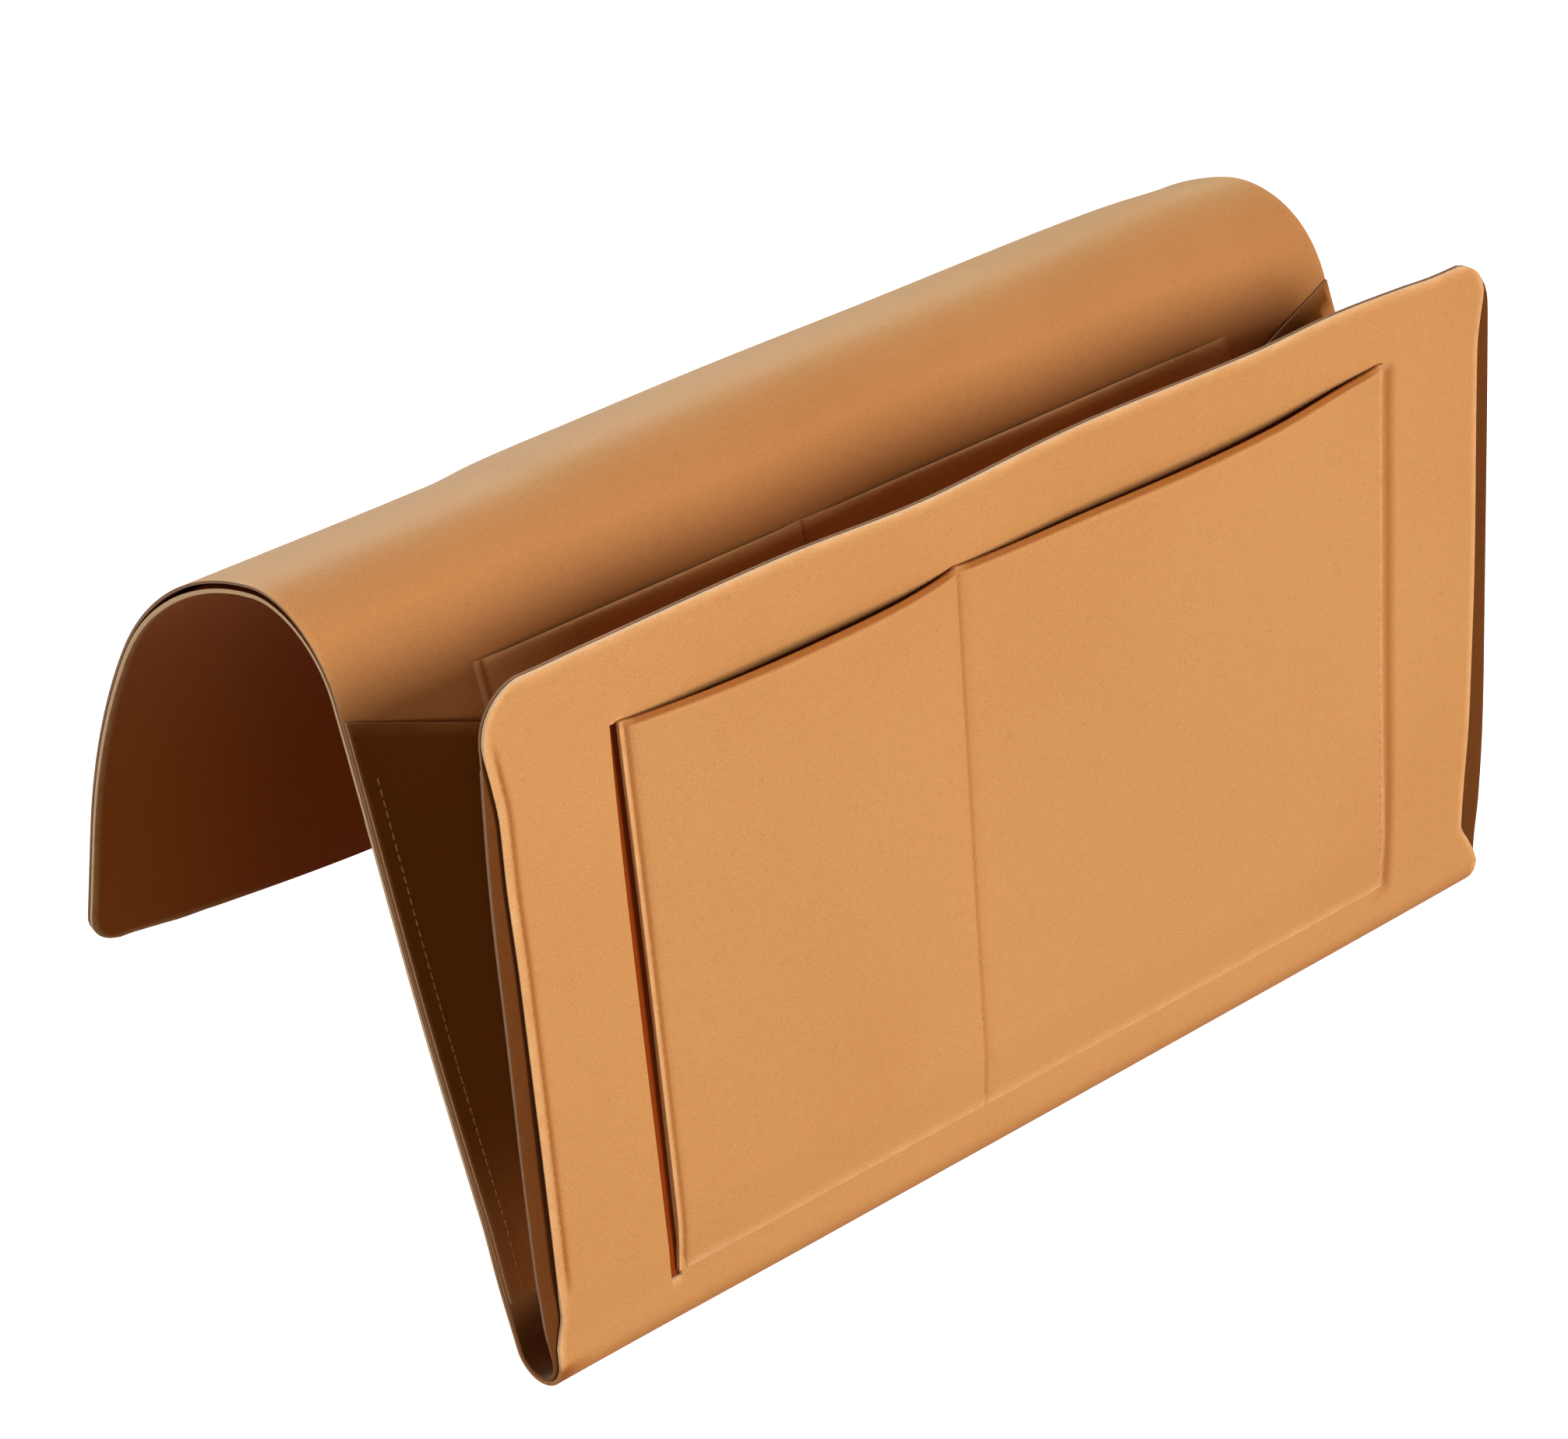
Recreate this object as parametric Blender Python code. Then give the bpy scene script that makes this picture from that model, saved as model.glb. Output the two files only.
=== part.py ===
"""Armrest organizer sewn from sheet leather: a two-ply sheet hangs over a sofa arm as a rear flap,
a saddle and a front leg, then folds up again as a front panel. Two folded gussets close the sides
of the magazine pocket between leg and panel, and a flat pocket is sewn to the leg and to the panel.

Metres. +X runs along the arm, -Y is the front, +Z is up. The origin is the middle of the saddle's
underside, where the organizer rests on the arm."""
from math import cos, pi, radians, sin

import bmesh
import bpy
from mathutils import Matrix, Vector

# The sheet
SHEET_WIDTH = 0.400
LEATHER = 0.0010
PLY_GAP = 0.0003

# Clearances
FIT_GAP = 0.0003
HINGE_GAP = 0.0007

# The drape's section, measured along the middle of the two plies
SHOULDER_RADIUS = 0.0335
SHOULDER_BACK_TURN = radians(9.3)
TOP_RADIUS = 0.128
TOP_TURN = radians(43.6)
BACK_RADIUS = 0.295
BACK_TURN = radians(18.2)
HEM_LENGTH = 0.055
HEM_CORNER_RADIUS = 0.013
LEG_TILT = radians(14.8)
LEG_LENGTH = 0.205
FOLD_RADIUS = 0.0098
PANEL_LENGTH = 0.2244
PANEL_CORNER_RADIUS = 0.017
ARC_STEP = radians(6)
CORNER_STEPS = 5

# The front ply's drawn-in side edges
RECESS_DEPTH = 0.005
RECESS_START = 0.024
RECESS_END_MARGIN = 0.030
RECESS_RAMP = 0.012

# Pockets sewn to the panel and to the leg
POCKET_MARGIN = 0.046
POCKET_FOOT = 0.010
POCKET_HEAD_ON_PANEL = 0.0255
POCKET_HEAD_ON_LEG = 0.0035
DIVIDER_FROM_LEFT = 0.170
FRONT_POCKET_GAPE = 0.0065
INNER_POCKET_GAPE = 0.0025
POCKET_COLUMNS = 8
POCKET_ROWS = 8
SLOT_WIDTH = 0.004
CUT_OVERRUN = 0.002

# Gussets
GUSSET_TAB_INSET = 0.0005
GUSSET_TAB_WIDTH = 0.008
GUSSET_FOOT_ON_LEG = 0.014
GUSSET_HEAD_ON_LEG = 0.002
GUSSET_FOOT_ON_PANEL = 0.012
GUSSET_HEAD_ON_PANEL = 0.024
GUSSET_FOLD_DEPTH = 0.061
GUSSET_FOLD_FOOT = 0.011
GUSSET_TOP_DROP = 0.023
GUSSET_LIFT = 0.0032
GUSSET_CREASE_GAP = 0.0012
GUSSET_ROWS = 8

# Thread
THREAD = 0.0005
SEAM_INSET = 0.0025
SEAM_BAND = 2 * SEAM_INSET
GUSSET_SEAM_INSET = 0.0055

# Colours as linear RGB, with roughness
TAN = ((0.60, 0.30, 0.12), 0.48)
TAN_LINING = ((0.62, 0.32, 0.13), 0.50)
BROWN = ((0.30, 0.12, 0.04), 0.55)
THREAD_TAN = ((0.45, 0.21, 0.08), 0.70)

HALF_WIDTH = SHEET_WIDTH / 2
PLY_INSIDE = PLY_GAP / 2
PLY_OUTSIDE = PLY_INSIDE + LEATHER


class Station:
    """A place on the drape's middle line, with its direction and its outer side."""

    def __init__(self, point, along, outward):
        self.point = point
        self.along = along
        self.outward = outward

    def at(self, x, depth):
        """World point at x along the arm, depth outward from the middle line."""
        spot = self.point + self.outward * depth
        return Vector((x, spot.x, spot.y))


class Drape:
    """Walks the section of the sheet in the YZ plane; side is +1 if outward lies to the left."""

    def __init__(self, point, heading, side):
        self.point = Vector(point)
        self.heading = heading
        self.side = side

    def station(self):
        along = Vector((cos(self.heading), sin(self.heading)))
        outward = Vector((-along.y, along.x)) * self.side
        return Station(self.point.copy(), along, outward)

    def straight(self, lengths):
        """Stations at each of the rising lengths from here; moves on to the last one."""
        start = self.station()
        stations = []
        for length in lengths:
            self.point = start.point + start.along * length
            stations.append(self.station())
        return stations

    def arc(self, radius, turn):
        """Stations along an arc that turns by turn, counter-clockwise where it is positive."""
        steps = max(2, round(abs(turn) / ARC_STEP))
        left = Vector((-sin(self.heading), cos(self.heading)))
        reach = radius if turn > 0 else -radius
        centre = self.point + left * reach
        spoke = self.point - centre
        start_heading = self.heading
        stations = [self.station()]
        for step in range(1, steps + 1):
            swung = turn * step / steps
            self.point = centre + Matrix.Rotation(swung, 2) @ spoke
            self.heading = start_heading + swung
            stations.append(self.station())
        return stations

    def gap(self, width):
        """Leaves a gap in the line and returns the station at its middle."""
        return self.straight((width / 2, width))[0]


class Face:
    """A flat run of the sheet: x along the arm, run along the sheet, depth outward."""

    def __init__(self, start, end):
        self.start = start
        self.length = (end.point - start.point).length

    def at(self, x, run, depth):
        station = Station(self.start.point + self.start.along * run, self.start.along, self.start.outward)
        return station.at(x, depth)


def material(name, colour, roughness):
    made = bpy.data.materials.new(name)
    made.use_nodes = True
    shader = made.node_tree.nodes["Principled BSDF"]
    shader.inputs["Base Color"].default_value = (*colour, 1)
    shader.inputs["Roughness"].default_value = roughness
    shader.inputs["Metallic"].default_value = 0
    made.diffuse_color = (*colour, 1)
    return made


def pivot(name, location, parent=None):
    """An empty on a joint's axis."""
    empty = bpy.data.objects.new(name, None)
    bpy.context.collection.objects.link(empty)
    empty.parent = parent
    base = parent["place"] if parent else (0, 0, 0)
    empty["place"] = tuple(location)
    empty.location = Vector(location) - Vector(base)
    return empty


def add_node(name, bm, finish, carrier=None):
    """Closes the mesh into an object with its own material, placed by its carrier's axis."""
    bmesh.ops.recalc_face_normals(bm, faces=bm.faces)
    if carrier:
        bmesh.ops.translate(bm, verts=bm.verts, vec=-Vector(carrier["place"]))
    mesh = bpy.data.meshes.new(name)
    bm.to_mesh(mesh)
    bm.free()
    mesh.materials.append(material(name + "_finish", *finish))
    mesh.shade_smooth()
    mesh.set_sharp_from_angle(angle=radians(30))
    node = bpy.data.objects.new(name, mesh)
    bpy.context.collection.objects.link(node)
    node.parent = carrier
    return node


def closed_sheet(bm, low, high):
    """Closes two matching grids of points, rows by columns, into one sheet."""
    rows = len(low)
    columns = len(low[0])
    low_verts = [[bm.verts.new(point) for point in row] for row in low]
    high_verts = [[bm.verts.new(point) for point in row] for row in high]
    for row in range(rows - 1):
        for column in range(columns - 1):
            for side in (low_verts, high_verts):
                bm.faces.new((side[row][column], side[row][column + 1],
                              side[row + 1][column + 1], side[row + 1][column]))
    rim = [(0, column) for column in range(columns)]
    rim += [(row, columns - 1) for row in range(1, rows)]
    rim += [(rows - 1, column) for column in range(columns - 2, -1, -1)]
    rim += [(row, 0) for row in range(rows - 2, 0, -1)]
    for here, there in zip(rim, rim[1:] + rim[:1]):
        bm.faces.new((low_verts[here[0]][here[1]], low_verts[there[0]][there[1]],
                      high_verts[there[0]][there[1]], high_verts[here[0]][here[1]]))


def strip(name, stations, half_widths, low, high, finish, carrier=None):
    """A ply across the sheet's width, between two depths from the middle line."""
    bm = bmesh.new()
    grids = []
    for depth in (low, high):
        grids.append([(station.at(-half, depth), station.at(half, depth))
                      for station, half in zip(stations, half_widths)])
    closed_sheet(bm, *grids)
    return add_node(name, bm, finish, carrier)


def both_plies(stem, stations, half_widths, finishes, carrier=None):
    """The outer ply and the lining over the same stations."""
    outer_finish, lining_finish = finishes
    strip(stem + "_cover", stations, half_widths, PLY_INSIDE, PLY_OUTSIDE, outer_finish, carrier)
    strip(stem + "_lining", stations, half_widths, -PLY_OUTSIDE, -PLY_INSIDE, lining_finish, carrier)


def rounded_end(length, radius):
    """Lengths along a straight run that ends in two round corners, and the half width at each."""
    lengths = [0]
    halves = [HALF_WIDTH]
    for step in range(CORNER_STEPS + 1):
        angle = pi / 2 * step / CORNER_STEPS
        lengths.append(length - radius + radius * sin(angle))
        halves.append(HALF_WIDTH - radius + radius * cos(angle))
    return lengths, halves


def recessed_halves(lengths, halves):
    """The panel's outline with the front ply's side edges drawn in over their middle."""
    start = RECESS_START
    end = PANEL_LENGTH - RECESS_END_MARGIN
    marks = [start, start + RECESS_RAMP, end - RECESS_RAMP, end]
    drawn = [0, RECESS_DEPTH, RECESS_DEPTH, 0]
    pairs = list(zip(lengths, halves))
    pairs += [(mark, HALF_WIDTH - depth) for mark, depth in zip(marks, drawn)]
    pairs.sort()
    return [pair[0] for pair in pairs], [pair[1] for pair in pairs]


def box_between(bm, face, xs, runs, depths):
    """A small block on a face of the sheet."""
    low = [[face.at(x, run, depths[0]) for x in xs] for run in runs]
    high = [[face.at(x, run, depths[1]) for x in xs] for run in runs]
    closed_sheet(bm, low, high)


def seam(name, face, x, runs, depth, outward, carrier):
    """The thread of a straight seam, lying on the leather at depth."""
    bm = bmesh.new()
    surface = depth + FIT_GAP * outward
    box_between(bm, face, (x - THREAD / 2, x + THREAD / 2), runs, (surface, surface + THREAD * outward))
    return add_node(name, bm, THREAD_TAN, carrier)


def pocket_columns():
    """Places across a pocket, with each one's share of its compartment's gape."""
    left = -HALF_WIDTH + POCKET_MARGIN
    divider = -HALF_WIDTH + DIVIDER_FROM_LEFT
    right = HALF_WIDTH - POCKET_MARGIN
    columns = [(left, 0)]
    for near, far in ((left + SEAM_BAND, divider - SEAM_INSET), (divider + SEAM_INSET, right - SEAM_BAND)):
        for step in range(POCKET_COLUMNS + 1):
            share = step / POCKET_COLUMNS
            columns.append((near + (far - near) * share, sin(pi * share)))
    columns.append((right, 0))
    return columns


def pocket(name, face, runs, depth, outward, gape, carrier):
    """A pocket panel on a face of the sheet, its mouth gaping between its seams."""
    bm = bmesh.new()
    start, end = runs
    low = []
    high = []
    for row in range(POCKET_ROWS + 1):
        share = row / POCKET_ROWS
        run = start + (end - start) * share
        near = [depth + outward * (FIT_GAP + gape * swell * share) for _, swell in pocket_columns()]
        low.append([face.at(x, run, lift) for (x, _), lift in zip(pocket_columns(), near)])
        high.append([face.at(x, run, lift + outward * LEATHER)
                     for (x, _), lift in zip(pocket_columns(), near)])
    closed_sheet(bm, low, high)
    return add_node(name, bm, TAN_LINING, carrier)


def pocket_seams(stem, face, runs, depth, outward, carrier):
    """Threads along a pocket's two side edges and its divider."""
    surface = depth + outward * (FIT_GAP + LEATHER)
    places = {"left": -HALF_WIDTH + POCKET_MARGIN + SEAM_INSET,
              "divider": -HALF_WIDTH + DIVIDER_FROM_LEFT,
              "right": HALF_WIDTH - POCKET_MARGIN - SEAM_INSET}
    for side, x in places.items():
        seam(stem + "_" + side + "_thread", face, x, runs, surface, outward, carrier)


def cut_slot(panel_ply, face, runs):
    """Cuts the narrow slot beside the front pocket's left edge through the front ply."""
    inner = -HALF_WIDTH + POCKET_MARGIN
    outer = inner - SLOT_WIDTH
    bm = bmesh.new()
    box_between(bm, face, (inner, outer), runs, (-PLY_OUTSIDE - CUT_OVERRUN, -PLY_INSIDE + FIT_GAP / 2))
    cutter = add_node("slot_cutter", bm, BROWN)
    cutter.hide_render = True
    cutter.display_type = "WIRE"
    cut = panel_ply.modifiers.new("slot", "BOOLEAN")
    cut.operation = "DIFFERENCE"
    cut.object = cutter


def gusset_rear(name, side, leg, carrier):
    """The gusset's rear half: a tab sewn to the leg's edge and a triangle lying in front of the leg."""
    tab_outer = HALF_WIDTH - GUSSET_TAB_INSET
    tab_inner = tab_outer - GUSSET_TAB_WIDTH
    head = leg.length - GUSSET_HEAD_ON_LEG
    drop_per_depth = GUSSET_TOP_DROP / (tab_outer - (HALF_WIDTH - GUSSET_FOLD_DEPTH))
    low = []
    high = []
    for row in range(GUSSET_ROWS + 1):
        share = row / GUSSET_ROWS
        fold_depth = GUSSET_FOLD_FOOT + (GUSSET_FOLD_DEPTH - GUSSET_FOLD_FOOT) * share
        lift = GUSSET_LIFT * share
        places = ((tab_outer, 0), (tab_inner, 0), (HALF_WIDTH - fold_depth, lift))
        near = []
        far = []
        for x, rise in places:
            top = head - (tab_outer - x) * drop_per_depth
            run = GUSSET_FOOT_ON_LEG + (top - GUSSET_FOOT_ON_LEG) * share
            depth = PLY_OUTSIDE + FIT_GAP + rise
            near.append(leg.at(side * x, run, depth))
            far.append(leg.at(side * x, run, depth + LEATHER))
        low.append(near)
        high.append(far)
    bm = bmesh.new()
    closed_sheet(bm, low, high)
    return add_node(name, bm, BROWN, carrier)


def gusset_hinge_place(side, panel):
    """The foot of the line where the gusset's front half leaves the panel's tab."""
    x = side * (HALF_WIDTH - GUSSET_TAB_INSET - GUSSET_TAB_WIDTH - HINGE_GAP)
    return panel.at(x, GUSSET_FOOT_ON_PANEL, PLY_OUTSIDE + FIT_GAP + LEATHER / 2)


def gusset_tab(name, side, panel, carrier):
    """The gusset's tab, sewn flat to the back of the panel."""
    outer = HALF_WIDTH - GUSSET_TAB_INSET
    bm = bmesh.new()
    box_between(bm, panel, (side * outer, side * (outer - GUSSET_TAB_WIDTH)),
                (GUSSET_FOOT_ON_PANEL, panel.length - GUSSET_HEAD_ON_PANEL),
                (PLY_OUTSIDE + FIT_GAP, PLY_OUTSIDE + FIT_GAP + LEATHER))
    return add_node(name, bm, BROWN, carrier)


def gusset_front(name, side, leg, panel, carrier):
    """The gusset's front half: a twisted sheet from the panel's tab to the crease before the leg."""
    hinge_x = abs(gusset_hinge_place(side, panel).x)
    foot = GUSSET_FOOT_ON_PANEL
    head = panel.length - GUSSET_HEAD_ON_PANEL
    crease_depth = PLY_OUTSIDE + FIT_GAP + LEATHER + GUSSET_CREASE_GAP + LEATHER
    middle = []
    for row in range(GUSSET_ROWS + 1):
        share = row / GUSSET_ROWS
        near = panel.at(side * hinge_x, foot + (head - foot) * share, PLY_OUTSIDE + FIT_GAP + LEATHER / 2)
        fold_depth = GUSSET_FOLD_FOOT + (GUSSET_FOLD_DEPTH - GUSSET_FOLD_FOOT) * share
        leg_run = GUSSET_FOOT_ON_LEG + (leg.length - GUSSET_TOP_DROP - GUSSET_HEAD_ON_LEG
                                        - GUSSET_FOOT_ON_LEG) * share
        far = leg.at(side * (HALF_WIDTH - fold_depth), leg_run, crease_depth + GUSSET_LIFT * share)
        middle.append((near, far))
    low = []
    high = []
    for row in range(GUSSET_ROWS + 1):
        before = middle[max(row - 1, 0)]
        after = middle[min(row + 1, GUSSET_ROWS)]
        near, far = middle[row]
        across = (far - near).normalized()
        near_lift = (after[0] - before[0]).cross(across).normalized() * LEATHER / 2
        far_lift = (after[1] - before[1]).cross(across).normalized() * LEATHER / 2
        start = near + across * LEATHER
        low.append((start - near_lift, far - far_lift))
        high.append((start + near_lift, far + far_lift))
    bm = bmesh.new()
    closed_sheet(bm, low, high)
    return add_node(name, bm, BROWN, carrier)


def build():
    for old in list(bpy.data.objects):
        bpy.data.objects.remove(old, do_unlink=True)

    back = Drape((0, PLY_OUTSIDE), 0, 1)
    saddle_back = back.arc(SHOULDER_RADIUS, -SHOULDER_BACK_TURN) + back.arc(TOP_RADIUS, -TOP_TURN)[1:]
    flap_line = back.gap(HINGE_GAP)
    flap_run = back.arc(BACK_RADIUS, -BACK_TURN)
    hem_lengths, hem_halves = rounded_end(HEM_LENGTH, HEM_CORNER_RADIUS)
    hem_run = back.straight(hem_lengths)[1:]

    front = Drape((0, PLY_OUTSIDE), pi, -1)
    saddle_front = front.arc(SHOULDER_RADIUS, pi / 2 - LEG_TILT)
    leg_line = front.gap(HINGE_GAP)
    leg_run = front.straight((0, LEG_LENGTH))
    front.gap(FIT_GAP)
    fold_run = front.arc(FOLD_RADIUS, -(pi - LEG_TILT))
    panel_line = front.gap(HINGE_GAP)
    panel_start = front.station()
    panel_lengths, panel_halves = rounded_end(PANEL_LENGTH, PANEL_CORNER_RADIUS)
    ply_lengths, ply_halves = recessed_halves(panel_lengths, panel_halves)
    panel_run = front.straight(panel_lengths)
    front.point = panel_start.point.copy()
    ply_run = front.straight(ply_lengths)

    flap_pivot = pivot("rear_flap_axis", flap_line.at(0, 0))
    leg_pivot = pivot("front_leg_axis", leg_line.at(0, 0))
    panel_pivot = pivot("front_panel_axis", panel_line.at(0, 0), leg_pivot)

    saddle_run = saddle_front[::-1] + saddle_back[1:]
    both_plies("saddle", saddle_run, [HALF_WIDTH] * len(saddle_run), (TAN, TAN_LINING))
    flap_halves = [HALF_WIDTH] * len(flap_run) + hem_halves[1:]
    both_plies("rear_flap", flap_run + hem_run, flap_halves, (TAN, TAN_LINING), flap_pivot)
    both_plies("front_leg", leg_run, [HALF_WIDTH] * len(leg_run), (TAN, TAN_LINING), leg_pivot)
    both_plies("bottom_fold", fold_run, [HALF_WIDTH] * len(fold_run), (TAN, TAN_LINING), leg_pivot)
    strip("front_panel_back", panel_run, panel_halves, PLY_INSIDE, PLY_OUTSIDE, TAN, panel_pivot)
    front_ply = strip("front_panel_face", ply_run, ply_halves, -PLY_OUTSIDE, -PLY_INSIDE,
                      TAN_LINING, panel_pivot)

    # The leg's face is measured upward from the fold, as the panel's is
    up_along = -leg_run[-1].along
    leg_foot = Station(leg_run[-1].point, up_along, leg_run[-1].outward)
    leg_head = Station(leg_run[0].point, up_along, leg_run[0].outward)
    leg = Face(leg_foot, leg_head)
    panel = Face(panel_run[0], panel_run[-1])

    panel_pocket_runs = (POCKET_FOOT, panel.length - POCKET_HEAD_ON_PANEL)
    leg_pocket_runs = (POCKET_FOOT, leg.length - POCKET_HEAD_ON_LEG)
    cut_slot(front_ply, panel, panel_pocket_runs)
    pocket("front_pocket", panel, panel_pocket_runs, -PLY_OUTSIDE, -1, FRONT_POCKET_GAPE, panel_pivot)
    pocket_seams("front_pocket", panel, panel_pocket_runs, -PLY_OUTSIDE, -1, panel_pivot)
    pocket("inner_pocket", leg, leg_pocket_runs, PLY_OUTSIDE, 1, INNER_POCKET_GAPE, leg_pivot)
    pocket_seams("inner_pocket", leg, leg_pocket_runs, PLY_OUTSIDE, 1, leg_pivot)

    for side, label in ((-1, "left"), (1, "right")):
        seam_x = side * (HALF_WIDTH - GUSSET_SEAM_INSET)
        gusset_rear(label + "_gusset_rear", side, leg, leg_pivot)
        seam(label + "_leg_seam_thread", leg, seam_x, (GUSSET_FOOT_ON_LEG, leg.length - GUSSET_TOP_DROP),
             PLY_OUTSIDE + FIT_GAP + LEATHER, 1, leg_pivot)
        gusset_tab(label + "_gusset_tab", side, panel, panel_pivot)
        seam(label + "_panel_seam_thread", panel, seam_x - side * RECESS_DEPTH / 2,
             (RECESS_START + RECESS_RAMP, panel.length - RECESS_END_MARGIN - RECESS_RAMP),
             -PLY_OUTSIDE, -1, panel_pivot)
        hinge = gusset_hinge_place(side, panel)
        gusset_pivot = pivot(label + "_gusset_axis", hinge, panel_pivot)
        gusset_front(label + "_gusset_front", side, leg, panel, gusset_pivot)


build()
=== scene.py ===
"""Armrest organizer in tan sheet leather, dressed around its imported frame.

The drape is one sheet of two leather plies. It hangs over a sofa arm as a rear flap, a saddle and a
front leg, folds up again as a front panel, and carries two flat pockets and two folded gussets.
Lengths are in metres. Depths are measured from the drape's middle line: a cover ply lies on its
outer side, and a lining ply on the side that touches the arm."""
import logging
from dataclasses import dataclass, field
from enum import Enum
from math import cos, hypot, pi, radians, sin, sqrt
from typing import Callable, Iterable, Sequence

import bmesh
import bpy
from mathutils import Matrix, Vector
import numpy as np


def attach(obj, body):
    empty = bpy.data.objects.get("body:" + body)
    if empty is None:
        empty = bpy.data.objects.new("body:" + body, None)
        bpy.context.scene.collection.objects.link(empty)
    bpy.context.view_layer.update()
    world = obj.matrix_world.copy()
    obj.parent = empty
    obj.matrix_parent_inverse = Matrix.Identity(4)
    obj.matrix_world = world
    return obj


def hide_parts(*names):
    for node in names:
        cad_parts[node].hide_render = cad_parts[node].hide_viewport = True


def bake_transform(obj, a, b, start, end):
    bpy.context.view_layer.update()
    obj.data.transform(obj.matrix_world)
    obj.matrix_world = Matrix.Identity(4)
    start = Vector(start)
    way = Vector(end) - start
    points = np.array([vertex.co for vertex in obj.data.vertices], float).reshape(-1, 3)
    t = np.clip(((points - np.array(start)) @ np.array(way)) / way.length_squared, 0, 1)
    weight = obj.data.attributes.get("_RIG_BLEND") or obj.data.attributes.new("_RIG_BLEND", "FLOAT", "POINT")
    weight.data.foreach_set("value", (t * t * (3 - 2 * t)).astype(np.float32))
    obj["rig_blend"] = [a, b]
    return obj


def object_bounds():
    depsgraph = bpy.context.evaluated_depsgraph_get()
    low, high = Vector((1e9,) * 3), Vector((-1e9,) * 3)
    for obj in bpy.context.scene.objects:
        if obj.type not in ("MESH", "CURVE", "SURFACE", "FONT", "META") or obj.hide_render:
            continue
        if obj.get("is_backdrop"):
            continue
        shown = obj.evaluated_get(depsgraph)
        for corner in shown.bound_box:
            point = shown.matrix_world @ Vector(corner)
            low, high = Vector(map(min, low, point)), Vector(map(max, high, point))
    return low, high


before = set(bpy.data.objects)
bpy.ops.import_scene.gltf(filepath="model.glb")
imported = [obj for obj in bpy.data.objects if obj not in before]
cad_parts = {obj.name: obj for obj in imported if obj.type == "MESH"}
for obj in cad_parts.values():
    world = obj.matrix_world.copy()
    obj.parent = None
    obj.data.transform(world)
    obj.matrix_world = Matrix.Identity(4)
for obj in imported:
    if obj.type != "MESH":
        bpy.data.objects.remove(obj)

log = logging.getLogger("armrest_organizer")

Place = Callable[[float, float], Vector]
Source = bpy.types.NodeSocket | float | tuple[float, ...]
Points = Sequence[tuple[float, float]]
Span = tuple[float, float, float, float]

HALF_WIDTH = 0.200


class Ply(Enum):
    """A leather layer of the drape, with the side of the middle line that it lies on."""

    COVER = 1
    LINING = -1


class Side(Enum):
    """An end of the organizer, with the sign of its X."""

    LEFT = -1
    RIGHT = 1


class Layer(Enum):
    """The faces of a cut piece of leather, with their material index."""

    GRAIN = 0
    FLESH = 1
    EDGE = 2


def ease(start: float, end: float, value: float) -> float:
    """Rises smoothly from 0 at start to 1 at end."""
    share = min(1.0, max(0.0, (value - start) / (end - start)))
    return share * share * (3 - 2 * share)


def hill(value: float, foot: float, top: float, top_end: float, foot_end: float) -> float:
    """Rises from 0 to 1 between foot and top, and falls back between top_end and foot_end."""
    return ease(foot, top, value) * (1 - ease(top_end, foot_end, value))


def levelled(value: float, bend: float = 0.4) -> float:
    """Follows value from 0 and levels off at 1, rounded over a bend to both sides of it."""
    if value >= 1 + bend:
        return 1.0
    if value <= 1 - bend:
        return max(0.0, value)
    return 1.0 - (1 + bend - value) ** 2 / (4 * bend)


def along_points(points: Points, value: float) -> float:
    """Height at value on a smooth curve through rising (place, height) points, level past them."""
    if value <= points[0][0]:
        return points[0][1]
    if value >= points[-1][0]:
        return points[-1][1]
    slopes = [0.0]
    for before, after in zip(points, points[2:]):
        slopes.append((after[1] - before[1]) / (after[0] - before[0]))
    slopes.append(0.0)
    index = max(i for i, point in enumerate(points[:-1]) if point[0] <= value)
    (left, low), (right, high) = points[index], points[index + 1]
    width = right - left
    share = (value - left) / width
    rest = 1 - share
    flat = low * (1 + 2 * share) * rest ** 2 + high * (3 - 2 * share) * share ** 2
    return flat + width * share * rest * (slopes[index] * rest - slopes[index + 1] * share)


def spaced(start: float, end: float, step: float) -> list[float]:
    """Evenly spaced places from start to end, both included, about step apart."""
    count = max(1, round(abs(end - start) / step))
    return [start + (end - start) * index / count for index in range(count + 1)]


def merged(*groups: Iterable[float], apart: float = 0.00012) -> list[float]:
    """One rising list of all the places, without those closer together than apart."""
    kept: list[float] = []
    for place in sorted(place for group in groups for place in group):
        if not kept or place - kept[-1] > apart:
            kept.append(place)
    return kept


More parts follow.
